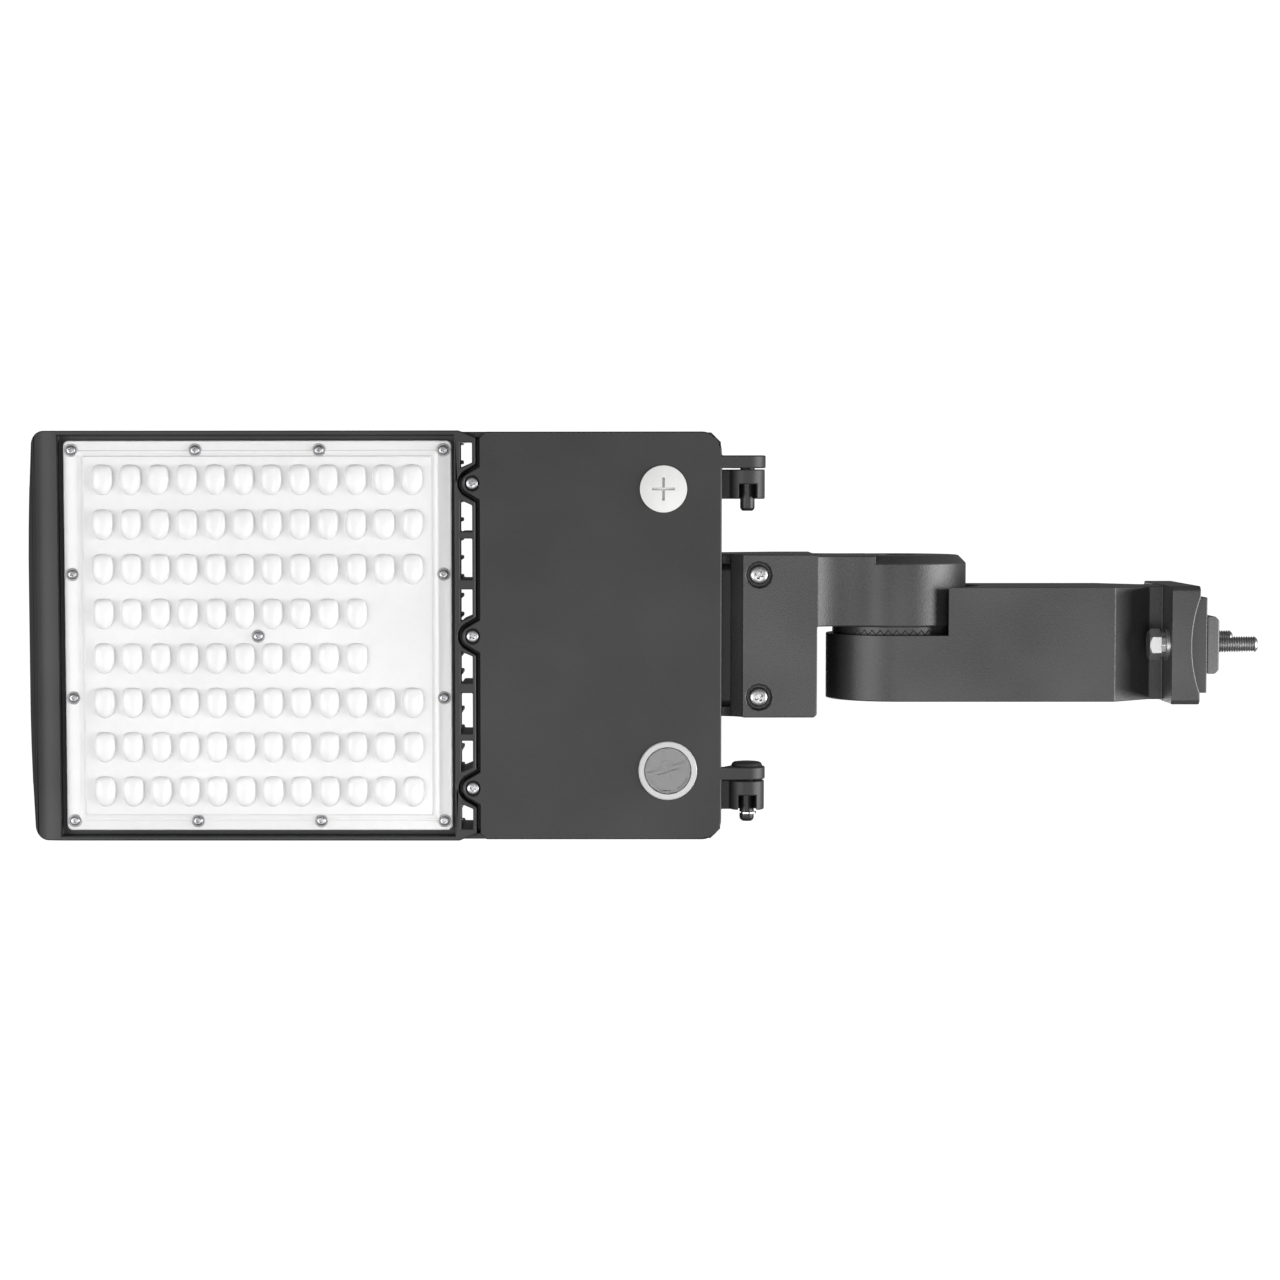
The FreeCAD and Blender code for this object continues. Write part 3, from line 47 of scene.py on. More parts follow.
# ---- Housing ---------------------------------------------------------------------------
# One aluminium die casting: the tray for the LED board with cooling fins on its back, the
# see-through vents, the driver box, the hinge lugs and the tongue. It is blasted and then
# sprayed with a dark grey textured powder coat.

def only(piece):
    """Leaves one piece selected and active."""
    bpy.ops.object.select_all(action="DESELECT")
    piece.select_set(True)
    bpy.context.view_layer.objects.active = piece


def apply_modifiers(piece):
    """Applies all of a piece's modifiers."""
    only(piece)
    for modifier in list(piece.modifiers):
        bpy.ops.object.modifier_apply(modifier=modifier.name)


merge_within = 0.002 * mm
flat_within = math.radians(0.4)
corner_above = math.radians(28)
smooth_below = math.radians(45)


def softened(name, node, edge, share_of=None):
    """A copy of a piece with its edges rounded, each as far as share_of says (0 to 1)."""
    piece = bpy.data.objects.new(name, nodes[node].data.copy())
    bpy.context.scene.collection.objects.link(piece)
    only(piece)
    bpy.ops.mesh.customdata_custom_splitnormals_clear()
    bpy.ops.object.mode_set(mode="EDIT")
    bpy.ops.mesh.select_all(action="SELECT")
    bpy.ops.mesh.remove_doubles(threshold=merge_within)
    bpy.ops.mesh.dissolve_limited(angle_limit=flat_within)
    bpy.ops.object.mode_set(mode="OBJECT")
    shape = bmesh.new()
    shape.from_mesh(piece.data)
    bmesh.ops.triangulate(shape, faces=[face for face in shape.faces if len(face.verts) > 4])
    weights = shape.edges.layers.float.new("bevel_weight_edge")
    for line in shape.edges:
        if len(line.link_faces) == 2 and line.calc_face_angle() > corner_above:
            line[weights] = share_of(line) if share_of else 1.0
    shape.to_mesh(piece.data)
    shape.free()
    bevel = piece.modifiers.new("rounded edges", "BEVEL")
    bevel.width = edge
    bevel.segments = 2
    bevel.limit_method = "WEIGHT"
    bevel.use_clamp_overlap = False
    flat = piece.modifiers.new("flat faces", "WEIGHTED_NORMAL")
    flat.keep_sharp = True
    bpy.ops.object.shade_smooth_by_angle(angle=smooth_below)
    apply_modifiers(piece)
    return piece


def place(piece, body, slot, material, *stands_for):
    """Gives a finished piece its material, puts it on its body and hides the nodes that it stands for.
    """
    piece.data.materials.clear()
    piece.data.materials.append(material)
    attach(piece, body)
    if stands_for:
        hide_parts(*stands_for)


def finish_group(name, inputs, outputs):
    """An empty shader node group with named inputs and outputs, and its two end nodes."""
    group = bpy.data.node_groups.new(name, "ShaderNodeTree")
    for socket, kind, start in inputs:
        made = group.interface.new_socket(socket, in_out="INPUT", socket_type=kind)
        made.default_value = start
    for socket, kind in outputs:
        group.interface.new_socket(socket, in_out="OUTPUT", socket_type=kind)
    return group, group.nodes.new("NodeGroupInput"), group.nodes.new("NodeGroupOutput")


COLOUR, NUMBER, DIRECTION = "NodeSocketColor", "NodeSocketFloat", "NodeSocketVector"
drift_share, grain_share = 0.6, 0.4
darkest_at, lightest_at = 0.3, 0.7
relief_depth = 0.15 * mm


def fine_grain_group():
    """Fine grain with darker and lighter flecks and slow shade changes: coats and plastics."""
    group, start, end = finish_group(
        "fine_grain",
        [("Dark", COLOUR, (0, 0, 0, 1)), ("Light", COLOUR, (1, 1, 1, 1)),
         ("Grain", NUMBER, 900.0), ("Drift", NUMBER, 14.0),
         ("Roughness", NUMBER, 0.5), ("Roughness spread", NUMBER, 0.1), ("Relief", NUMBER, 0.3)],
        [("Color", COLOUR), ("Roughness", NUMBER), ("Normal", DIRECTION)])
    made, link = group.nodes.new, group.links.new
    where = made("ShaderNodeTexCoord")
    grain = made("ShaderNodeTexNoise")
    grain.inputs["Detail"].default_value = 3.0
    link(where.outputs["Object"], grain.inputs["Vector"])
    link(start.outputs["Grain"], grain.inputs["Scale"])
    drift = made("ShaderNodeTexNoise")
    drift.inputs["Detail"].default_value = 2.0
    link(where.outputs["Object"], drift.inputs["Vector"])
    link(start.outputs["Drift"], drift.inputs["Scale"])
    blend = made("ShaderNodeMath")
    blend.operation = "MULTIPLY_ADD"
    blend.inputs[1].default_value = drift_share
    link(drift.outputs["Fac"], blend.inputs[0])
    part = made("ShaderNodeMath")
    part.operation = "MULTIPLY"
    part.inputs[1].default_value = grain_share
    link(grain.outputs["Fac"], part.inputs[0])
    link(part.outputs[0], blend.inputs[2])
    spread = made("ShaderNodeMapRange")
    spread.inputs["From Min"].default_value = darkest_at
    spread.inputs["From Max"].default_value = lightest_at
    link(blend.outputs[0], spread.inputs["Value"])
    tint = made("ShaderNodeMix")
    tint.data_type = "RGBA"
    link(spread.outputs["Result"], tint.inputs["Factor"])
    tint_a, tint_b = [s for s in tint.inputs if s.type == "RGBA"]
    link(start.outputs["Dark"], tint_a)
    link(start.outputs["Light"], tint_b)
    link([s for s in tint.outputs if s.type == "RGBA"][0], end.inputs["Color"])
    gloss = made("ShaderNodeMath")
    gloss.operation = "MULTIPLY_ADD"
    link(grain.outputs["Fac"], gloss.inputs[0])
    link(start.outputs["Roughness spread"], gloss.inputs[1])
    link(start.outputs["Roughness"], gloss.inputs[2])
    link(gloss.outputs[0], end.inputs["Roughness"])
    bump = made("ShaderNodeBump")
    bump.inputs["Distance"].default_value = relief_depth
    link(start.outputs["Relief"], bump.inputs["Strength"])
    link(grain.outputs["Fac"], bump.inputs["Height"])
    link(bump.outputs["Normal"], end.inputs["Normal"])
    return group


fine_grain = fine_grain_group()


def grained(name, dark, light, grain, rough, spread, relief, drift=14.0, **shader_values):
    """A material whose colour, gloss and surface come from the fine grain group."""
    material = bpy.data.materials.new(name)
    material.use_nodes = True
    tree = material.node_tree
    shader = tree.nodes["Principled BSDF"]
    effect = tree.nodes.new("ShaderNodeGroup")
    effect.node_tree = fine_grain
    values = {"Dark": (*dark, 1), "Light": (*light, 1), "Grain": grain, "Drift": drift,
              "Roughness": rough, "Roughness spread": spread, "Relief": relief}
    for socket, value in values.items():
        effect.inputs[socket].default_value = value
    tree.links.new(effect.outputs["Color"], shader.inputs["Base Color"])
    tree.links.new(effect.outputs["Roughness"], shader.inputs["Roughness"])
    tree.links.new(effect.outputs["Normal"], shader.inputs["Normal"])
    for socket, value in shader_values.items():
        shader.inputs[socket.replace("_", " ")].default_value = value
    return material


powder_coat = grained("powder_coat", (0.013, 0.013, 0.014), (0.026, 0.026, 0.027),
                      1300.0, 0.42, 0.16, 0.5, Specular_IOR_Level=0.3)
housing = softened("housing_casting", "housing", 0.7 * mm)
place(housing, "head", "powder_coat", powder_coat, "housing")


# ---- LED board -------------------------------------------------------------------------
# A metal-cored board with a white solder mask, held by two low head screws, with one white
# ceramic LED package under each optic and two poke-in connectors for the leads.

board_white = grained("board_white", (0.80, 0.81, 0.80), (0.90, 0.90, 0.89), 260.0, 0.38, 0.15, 0.05)
nodes["led_board"].data.materials.clear()
nodes["led_board"].data.materials.append(board_white)
connector_nylon = grained("connector_nylon", (0.50, 0.50, 0.49), (0.62, 0.62, 0.60),
                          700.0, 0.42, 0.1, 0.1)
connectors = softened("connector_blocks", "board_connector", 0.3 * mm)
place(connectors, "head", "board_white", connector_nylon, "board_connector")

optic_cols, optic_rows = 12, 8
optic_pitch = (17.47 * mm, 27.71 * mm)
connector_cols = 2
lens_low, lens_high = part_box("lens_plate")
lens_middle = (lens_low + lens_high) / 2


def optic_cells():
    """Each cell of the optic array as (x, y, whether it holds an optic)."""
    cells = []
    for column in range(optic_cols):
        for row in range(optic_rows):
            x = lens_middle.x + (column - (optic_cols - 1) / 2) * optic_pitch[0]
            y = lens_middle.y + (row - (optic_rows - 1) / 2) * optic_pitch[1]
            in_middle = row in (optic_rows // 2 - 1, optic_rows // 2)
            cells.append((x, y, not (in_middle and column >= optic_cols - connector_cols)))
    return cells


def copies(name, master, places):
    """One object from copies of a master piece, each put in place by its own matrix."""
    gathered = bmesh.new()
    for matrix in places:
        known = len(gathered.verts)
        gathered.from_mesh(master.data)
        gathered.verts.ensure_lookup_table()
        bmesh.ops.transform(gathered, matrix=matrix, verts=gathered.verts[known:])
    mesh = bpy.data.meshes.new(name)
    gathered.to_mesh(mesh)
    gathered.free()
    bpy.data.objects.remove(master)
    piece = bpy.data.objects.new(name, mesh)
    bpy.context.scene.collection.objects.link(piece)
    only(piece)
    bpy.ops.object.shade_smooth_by_angle(angle=math.radians(40))
    return piece


def led_package(size, thick):
    """One package: a shallow ceramic tray, with four light squares set in it."""
    bpy.ops.object.select_all(action="DESELECT")
    bpy.ops.mesh.primitive_cube_add(size=1, location=(0, 0, thick / 2))
    package = bpy.context.object
    package.scale = (size, size, thick)
    bpy.ops.object.transform_apply(location=True, scale=True)
    bpy.ops.object.mode_set(mode="EDIT")
    shape = bmesh.from_edit_mesh(package.data)
    top = max(shape.faces, key=lambda face: face.calc_center_median().z)
    bmesh.ops.inset_region(shape, faces=[top], thickness=size * 0.12)
    bmesh.ops.subdivide_edges(shape, edges=list(top.edges), cuts=1, use_grid_fill=True)
    lights = [face for face in shape.faces
              if face.normal.z > 0.9 and max(abs(v.co.x) for v in face.verts) < size * 0.39
              and max(abs(v.co.y) for v in face.verts) < size * 0.39]
    bmesh.ops.inset_individual(shape, faces=lights, thickness=size * 0.05, depth=-thick * 0.25)
    for face in lights:
        face.material_index = 1
    bmesh.update_edit_mesh(package.data)
    bpy.ops.object.mode_set(mode="OBJECT")
    return package


package_w = 5.0 * mm
led_low, led_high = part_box("led_packages")
facing_down = Matrix.Rotation(math.pi, 4, "X")
leds = copies("led_array", led_package(package_w, led_high.z - led_low.z),
              [Matrix.Translation((x, y, led_high.z)) @ facing_down
               for x, y, lit in optic_cells() if lit])
led_ceramic = grained("led_ceramic", (0.62, 0.62, 0.60), (0.74, 0.74, 0.72), 500.0, 0.4, 0.1, 0.05)
led_phosphor = grained("led_phosphor", (0.62, 0.60, 0.47), (0.74, 0.72, 0.58), 900.0, 0.35, 0.1, 0.1)
place(leds, "head", "led_phosphor", led_ceramic, "led_packages")
leds.data.materials.append(led_phosphor)


# ---- Lens plate ------------------------------------------------------------------------
# One clear acrylic moulding: a flange with a raised line round it, a raised field, and an
# egg-shaped optic over each LED. It lies on a rubber gasket and 13 screws hold it down.

optic_half = (6.8 * mm, 9.6 * mm)
optic_height = 3.8 * mm
optic_steps = ((1.0, 0.0), (0.97, 0.34), (0.86, 0.68), (0.66, 0.88), (0.36, 0.98))
blunt_end, round_end = 3.2, 2.1
optic_lean = 1.6 * mm
field_z = lens_low.z + optic_height
hollow_depth = 2.6 * mm
rim_w = 2 * mm
flange_z = field_z + 1.0 * mm
lens_back_z = flange_z + hollow_depth
flange_inset = (12.5 * mm, 9.9 * mm)
flange_steps = ((0.0, 0.6), (0.05, 0.0), (0.58, 0.0), (0.63, -0.45), (0.71, -0.45),
                (0.76, 0.0), (0.92, 0.0), (1.0, -1.0))


def egg_ring(shape, x, y, share, z):
    """Sixteen points round an optic, squarer towards its blunt end."""
    ring = []
    for k in range(16):
        across, along = math.cos(math.pi * k / 8), math.sin(math.pi * k / 8)
        power = 2 / (blunt_end if along < 0 else round_end)
        dx = math.copysign(abs(across) ** power, across) * optic_half[0] * share
        dy = math.copysign(abs(along) ** power, along) * optic_half[1] * share
        ring.append(shape.verts.new((x + dx, y + dy - optic_lean * (1 - share), z)))
    return ring


def cell_ring(shape, x, y):
    """Sixteen points round the edge of a cell, four to a side, so that cells join up."""
    half_x, half_y = optic_pitch[0] / 2, optic_pitch[1] / 2
    ring = []
    for k in range(16):
        turn = math.pi * k / 8
        reach = max(abs(math.cos(turn)), abs(math.sin(turn)))
        along = (math.cos(turn) / reach, math.sin(turn) / reach)
        halves = [round(a * 2) / 2 if abs(a) < 0.95 else math.copysign(1, a) for a in along]
        ring.append(shape.verts.new((x + halves[0] * half_x, y + halves[1] * half_y, field_z)))
    return ring


def skin(shape, ring, following):
    """Quads between two rings of the same number of points."""
    count = len(ring)
    return [shape.faces.new((ring[k], ring[(k + 1) % count],
                             following[(k + 1) % count], following[k])) for k in range(count)]


def rounded_outline(shape, inset_x, inset_y, radius, z):
    """A rectangle with rounded corners, inset from the lens plate's outline."""
    half_x = (lens_high.x - lens_low.x) / 2 - inset_x
    half_y = (lens_high.y - lens_low.y) / 2 - inset_y
    ring = []
    for corner in range(4):
        for step in range(5):
            turn = math.pi / 2 * corner + math.pi / 8 * step
            sx = 1 if corner in (0, 3) else -1
            sy = 1 if corner in (0, 1) else -1
            x = lens_middle.x + sx * (half_x - radius) + radius * math.cos(turn)
            y = lens_middle.y + sy * (half_y - radius) + radius * math.sin(turn)
            ring.append(shape.verts.new((x, y, z)))
    return ring


def lens_mesh():
    """The lens plate's closed mesh: field and optics, flange, sides and hollow back."""
    shape = bmesh.new()
    for x, y, has_optic in optic_cells():
        outer = cell_ring(shape, x, y)
        if not has_optic:
            shape.faces.new(outer)
            continue
        for share, height in optic_steps:
            ring = egg_ring(shape, x, y, share, field_z - height * optic_height)
            skin(shape, outer, ring)
            outer = ring
        top = shape.verts.new((x, y - optic_lean, field_z - optic_height))
        for k in range(16):
            shape.faces.new((outer[k], outer[(k + 1) % 16], top))
    bmesh.ops.remove_doubles(shape, verts=list(shape.verts), dist=0.02 * mm)
    field_edge = [edge for edge in shape.edges if edge.is_boundary]
    back = rounded_outline(shape, 0, 0, 3.2 * mm, lens_back_z)
    ring = back
    for share, rise in flange_steps:
        following = rounded_outline(shape, flange_inset[0] * share, flange_inset[1] * share,
                                    3.2 * mm * (1 - 0.6 * share), flange_z + rise * mm)
        skin(shape, ring, following)
        ring = following
    ring_edges = [shape.edges.get((ring[k], ring[(k + 1) % len(ring)])) for k in range(len(ring))]
    bmesh.ops.bridge_loops(shape, edges=field_edge + ring_edges)
    hollow = rounded_outline(shape, flange_inset[0] + rim_w, flange_inset[1] + rim_w,
                             1.0 * mm, lens_back_z)
    floor = rounded_outline(shape, flange_inset[0] + rim_w, flange_inset[1] + rim_w,
                            1.0 * mm, field_z + hollow_depth)
    skin(shape, back, hollow)
    skin(shape, hollow, floor)
    shape.faces.new(floor)
    bmesh.ops.recalc_face_normals(shape, faces=list(shape.faces))
    half_x = (lens_high.x - lens_low.x) / 2 - flange_inset[0]
    half_y = (lens_high.y - lens_low.y) / 2 - flange_inset[1]
    for face in shape.faces:
        middle = face.calc_center_median() - lens_middle
        outside = abs(middle.x) > half_x - 0.5 * mm or abs(middle.y) > half_y - 0.5 * mm
        face.material_index = 1 if outside else 0
    mesh = bpy.data.meshes.new("lens_moulding")
    shape.to_mesh(mesh)
    shape.free()
    return mesh


lens = bpy.data.objects.new("lens_moulding", lens_mesh())
bpy.context.scene.collection.objects.link(lens)
only(lens)
bpy.ops.object.shade_smooth_by_angle(angle=math.radians(35))
clear_acrylic = grained("clear_acrylic", (0.82, 0.82, 0.82), (0.87, 0.87, 0.87),
                        200.0, 0.10, 0.05, 0.02, IOR=1.35, Transmission_Weight=0.4)
flange_acrylic = grained("flange_acrylic", (0.30, 0.30, 0.30), (0.40, 0.40, 0.40),
                         160.0, 0.16, 0.1, 0.1, IOR=1.49, Transmission_Weight=0.35)
place(lens, "head", "clear_lens", clear_acrylic, "lens_plate")
lens.data.materials.append(flange_acrylic)

gasket_rubber = grained("gasket_rubber", (0.025, 0.025, 0.025), (0.05, 0.05, 0.05),
                        800.0, 0.6, 0.15, 0.3)
gasket = softened("lens_gasket_ring", "lens_gasket", 0.25 * mm)
place(gasket, "head", "seal_rubber", gasket_rubber, "lens_gasket")


# ---- Lens screws -----------------------------------------------------------------------
# Twelve pan head screws round the flange and one in the middle, M3 stainless steel with a
# cross recess. Each stands in a small raised ring of the lens.

def turned(name, profile, sides=40):
    """A turned piece: its closed half profile of (radius, height) is spun about Z."""
    mesh = bpy.data.meshes.new(name)
    count = len(profile)
    mesh.from_pydata([(radius, 0, height) for radius, height in profile],
                     [(k, (k + 1) % count) for k in range(count)], [])
    piece = bpy.data.objects.new(name, mesh)
    bpy.context.scene.collection.objects.link(piece)
    only(piece)
    bpy.ops.object.mode_set(mode="EDIT")
    bpy.ops.mesh.select_all(action="SELECT")
    bpy.ops.mesh.spin(steps=sides, angle=2 * math.pi, center=(0, 0, 0), axis=(0, 0, 1))
    bpy.ops.mesh.select_all(action="SELECT")
    bpy.ops.mesh.remove_doubles(threshold=0.005 * mm)
    bpy.ops.mesh.delete_loose()
    bpy.ops.mesh.select_all(action="SELECT")
    bpy.ops.mesh.normals_make_consistent(inside=False)
    bpy.ops.object.mode_set(mode="OBJECT")
    axis_edges = bmesh.new()
    axis_edges.from_mesh(mesh)
    on_axis = [edge for edge in axis_edges.edges if not edge.link_faces]
    bmesh.ops.delete(axis_edges, geom=on_axis, context="EDGES")
    axis_edges.to_mesh(mesh)
    axis_edges.free()
    return piece


def cut(piece, cutter, operation="DIFFERENCE"):
    """Cuts one piece with another and removes the cutter."""
    change = piece.modifiers.new("cut", "BOOLEAN")
    change.object = cutter
    change.operation = operation
    change.solver = "EXACT"
    apply_modifiers(piece)
    bpy.data.objects.remove(cutter)
    return piece


def cross_cutter(length, width, top, depth, taper):
    """A plus-shaped block with tapered ends, which cuts a driver recess down from a top."""
    shape = bmesh.new()
    bmesh.ops.create_cube(shape, size=1, matrix=Matrix.Diagonal((width, width, 2 * depth, 1)))
    sides = [face for face in shape.faces if abs(face.normal.z) < 0.5]
    for arm in bmesh.ops.extrude_discrete_faces(shape, faces=sides)["faces"]:
        bmesh.ops.translate(shape, verts=arm.verts, vec=arm.normal * (length - width) / 2)
    for vert in shape.verts:
        if vert.co.z < 0:
            vert.co.x *= taper if abs(vert.co.x) > width else 0.7
            vert.co.y *= taper if abs(vert.co.y) > width else 0.7
        vert.co.z += top
    mesh = bpy.data.meshes.new("cross")
    shape.to_mesh(mesh)
    shape.free()
    cutter = bpy.data.objects.new("cross", mesh)
    bpy.context.scene.collection.objects.link(cutter)
    return cutter


def pan_screw(head_d, head_h, shank_d, shank_l):
    """A pan head screw on the Z axis with its seat at zero, and a cross recess."""
    r, h = head_d / 2, head_h
    profile = [(0, -shank_l), (shank_d * 0.38, -shank_l), (shank_d / 2, 0.6 * mm - shank_l),
               (shank_d / 2, 0), (r, 0), (r, h * 0.38), (r * 0.96, h * 0.62), (r * 0.84, h * 0.83),
               (r * 0.6, h * 0.96), (0, h)]
    screw = turned("pan_screw", profile, 28)
    return cut(screw, cross_cutter(head_d * 0.60, head_d * 0.17, h, h * 0.8, 0.55))


first_turn, next_turn = 0.3, 0.7


def screw_places(places, seat_z):
    """Matrices for screws that point up into the light, each turned its own way."""
    return [Matrix.Translation((x, y, seat_z)) @ Matrix.Rotation(first_turn + next_turn * k, 4, "Z")
            @ facing_down for k, (x, y) in enumerate(places)]


stainless = grained("stainless", (0.26, 0.26, 0.27), (0.42, 0.42, 0.43), 1500.0, 0.28, 0.2, 0.15,
                    Metallic=1.0)
screw_low, screw_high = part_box("lens_screws")
lens_head_d, lens_head_h = 5.8 * mm, 2.0 * mm
screw_reach = (screw_high.y - screw_low.y) / 2 - lens_head_d / 2
steps = (-screw_reach, -screw_reach / 3, screw_reach / 3, screw_reach)
ring_places = [(lens_middle.x + a, lens_middle.y + b) for a in steps for b in steps
               if screw_reach in (abs(a), abs(b))]
lens_screw_l = screw_high.z - flange_z
lens_screws = copies("lens_screw_set", pan_screw(lens_head_d, lens_head_h, 3.0 * mm, lens_screw_l),
                     screw_places(ring_places, flange_z - 0.2 * mm)
                     + screw_places([(lens_middle.x, lens_middle.y)], field_z - 0.2 * mm))
place(lens_screws, "head", "stainless", stainless, "lens_screws")
ring_profile = [(2.9 * mm, -0.4 * mm), (4.1 * mm, -0.4 * mm), (4.1 * mm, 0.3 * mm),
                (3.8 * mm, 0.55 * mm), (3.3 * mm, 0.55 * mm), (2.9 * mm, 0.3 * mm)]
lens_rings = copies("lens_screw_rings", turned("ring", ring_profile, 32),
                    screw_places(ring_places, flange_z)
                    + screw_places([(lens_middle.x, lens_middle.y)], field_z))
place(lens_rings, "head", "clear_lens", flange_acrylic)
post_h = lens_high.z - field_z - hollow_depth
post_profile = [(1.8 * mm, 0), (4 * mm, 0), (4 * mm, post_h), (1.8 * mm, post_h)]
post = copies("lens_middle_post", turned("post", post_profile, 24),
              [Matrix.Translation((lens_middle.x, lens_middle.y, field_z + hollow_depth))])
place(post, "head", "clear_lens", clear_acrylic)
board_screw = softened("board_screw_pair", "board_screws", 0.2 * mm)
place(board_screw, "head", "stainless", stainless, "board_screws")


# ---- Driver and wiring -----------------------------------------------------------------
# Inside the driver box: a driver in an enamelled steel case on two feet, a potted surge
# protector, a terminal block, the leads and the light sensor behind the clear plug.

driver_enamel = grained("driver_enamel", (0.55, 0.56, 0.57), (0.64, 0.65, 0.66), 500.0, 0.35, 0.12, 0.1)
driver_case = softened("driver_case", "driver", 0.8 * mm)
place(driver_case, "head", "driver_case", driver_enamel, "driver")
zinc_plate = grained("zinc_plate", (0.28, 0.28, 0.28), (0.46, 0.46, 0.46), 700.0, 0.26, 0.25, 0.15,
                     Metallic=1.0)
inner_finishes = {
    "driver_screws": zinc_plate,
    "surge_protector": grained("potting_resin", (0.02, 0.02, 0.025), (0.05, 0.05, 0.06),
                               350.0, 0.35, 0.2, 0.3),
    "terminal_block": grained("terminal_nylon", (0.62, 0.62, 0.58), (0.74, 0.74, 0.70),
                              600.0, 0.42, 0.1, 0.1),
    "driver_leads": grained("lead_jacket", (0.03, 0.03, 0.035), (0.06, 0.06, 0.07),
                            900.0, 0.4, 0.1, 0.1),
    "board_leads": grained("lead_red", (0.45, 0.03, 0.02), (0.6, 0.05, 0.03),
                           900.0, 0.38, 0.1, 0.1),
    "light_sensor": grained("sensor_shell", (0.05, 0.05, 0.05), (0.09, 0.09, 0.09),
                            700.0, 0.4, 0.15, 0.15),
    "lead_grommet": gasket_rubber,
    "entry_grommet": gasket_rubber,
    "door_gasket": gasket_rubber,
}
for node, material in inner_finishes.items():
    nodes[node].data.materials.clear()
    nodes[node].data.materials.append(material)


# ---- Driver door -----------------------------------------------------------------------
# A die-cast lid over the driver box, in the same coat. Three ears with captive M4 screws
# hold its front edge, and two arms with pins hang its rear edge from the lugs.

door = softened("door_casting", "driver_door", 0.8 * mm)
place(door, "door", "powder_coat", powder_coat, "driver_door")
door_screw_low, door_screw_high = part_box("door_screws")
ear_x = (door_screw_low.x + door_screw_high.x) / 2
ear_y = (door_screw_low.y + door_screw_high.y) / 2
door_head_d, door_head_h = 8.1 * mm, 2.4 * mm
ear_reach = (door_screw_high.y - door_screw_low.y - door_head_d) / 2
door_seat_z = door_screw_low.z + door_head_h
door_screws = copies("door_screw_set",
                     pan_screw(door_head_d, door_head_h, 4 * mm, door_screw_high.z - door_seat_z),
                     screw_places([(ear_x, ear_y + s * ear_reach) for s in (-1, 0, 1)], door_seat_z))
place(door_screws, "door", "stainless", stainless, "door_screws")


# ---- Blank plug ------------------------------------------------------------------------
# A white nylon quarter-turn plug with a crossed slot for a screwdriver or coin, on a
# rubber ring. It closes a knockout that some lights use for a control.

plug_low, plug_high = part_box("blank_plug")
plug_x, plug_y = (plug_low.x + plug_high.x) / 2, (plug_low.y + plug_high.y) / 2
face_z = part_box("driver_door")[0].z
plug_r = 14.6 * mm
slot_l, slot_taper = 14.4 * mm, 0.97
proud = face_z - plug_low.z
depth = plug_high.z - face_z
plug = turned("blank_plug_moulding",
              [(0, -depth), (11 * mm, -depth), (11 * mm, 0), (plug_r, 0), (plug_r, proud - 0.4 * mm),
               (plug_r - 0.15 * mm, proud - 0.12 * mm), (plug_r - 0.5 * mm, proud), (0, proud)], 64)
plug = cut(plug, cross_cutter(slot_l, 1.9 * mm, proud, 2.4 * mm, slot_taper))
plug = copies("blank_plug_moulding", plug,
              [Matrix.Translation((plug_x, plug_y, face_z)) @ facing_down])
white_nylon = grained("white_nylon", (0.46, 0.46, 0.45), (0.51, 0.51, 0.50), 600.0, 0.3, 0.1, 0.05)
place(plug, "blank_plug", "white_plastic", white_nylon, "blank_plug")
seal = softened("blank_plug_ring", "blank_plug_seal", 0.2 * mm)
place(seal, "door", "seal_rubber", gasket_rubber, "blank_plug_seal")


# ---- Window plug -----------------------------------------------------------------------
# A clear quarter-turn plug in a frosted socket ring pressed into the door. The sensor
# behind looks through it. Four pockets round its crossed slot keep its wall even.

window_low, window_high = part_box("window_plug")
window_x = (window_low.x + window_high.x) / 2
window_y = (window_low.y + window_high.y) / 2
window_turn = math.radians(17)
window_r = plug_r
window_depth = window_high.z - face_z
window = turned("window_plug_moulding",
                [(0, -window_depth), (13.4 * mm, -window_depth), (13.4 * mm, 0), (window_r, 0),
                 (window_r, proud - 0.3 * mm), (window_r - 0.3 * mm, proud), (0, proud)], 64)


def pocket_cutter(inner, outer, gap, top, depth):
    """One quarter pocket of the window plug, between two arms of the cross."""
    points = []
    for k in range(9):
        turn = math.asin(gap / outer) + (math.pi / 2 - 2 * math.asin(gap / outer)) * k / 8
        points.append((outer * math.cos(turn), outer * math.sin(turn)))
    points += [(gap, inner), (inner * 0.72, inner * 0.72), (inner, gap)]
    shape = bmesh.new()
    verts = [shape.verts.new((x, y, top - depth)) for x, y in points]
    face = shape.faces.new(verts)
    raised = bmesh.ops.extrude_face_region(shape, geom=[face])["geom"]
    up = [item for item in raised if isinstance(item, bmesh.types.BMVert)]
    bmesh.ops.translate(shape, verts=up, vec=(0, 0, depth * 2))
    bmesh.ops.recalc_face_normals(shape, faces=list(shape.faces))
    mesh = bpy.data.meshes.new("pocket")
    shape.to_mesh(mesh)
    shape.free()
    cutter = bpy.data.objects.new("pocket", mesh)
    bpy.context.scene.collection.objects.link(cutter)
    return cutter


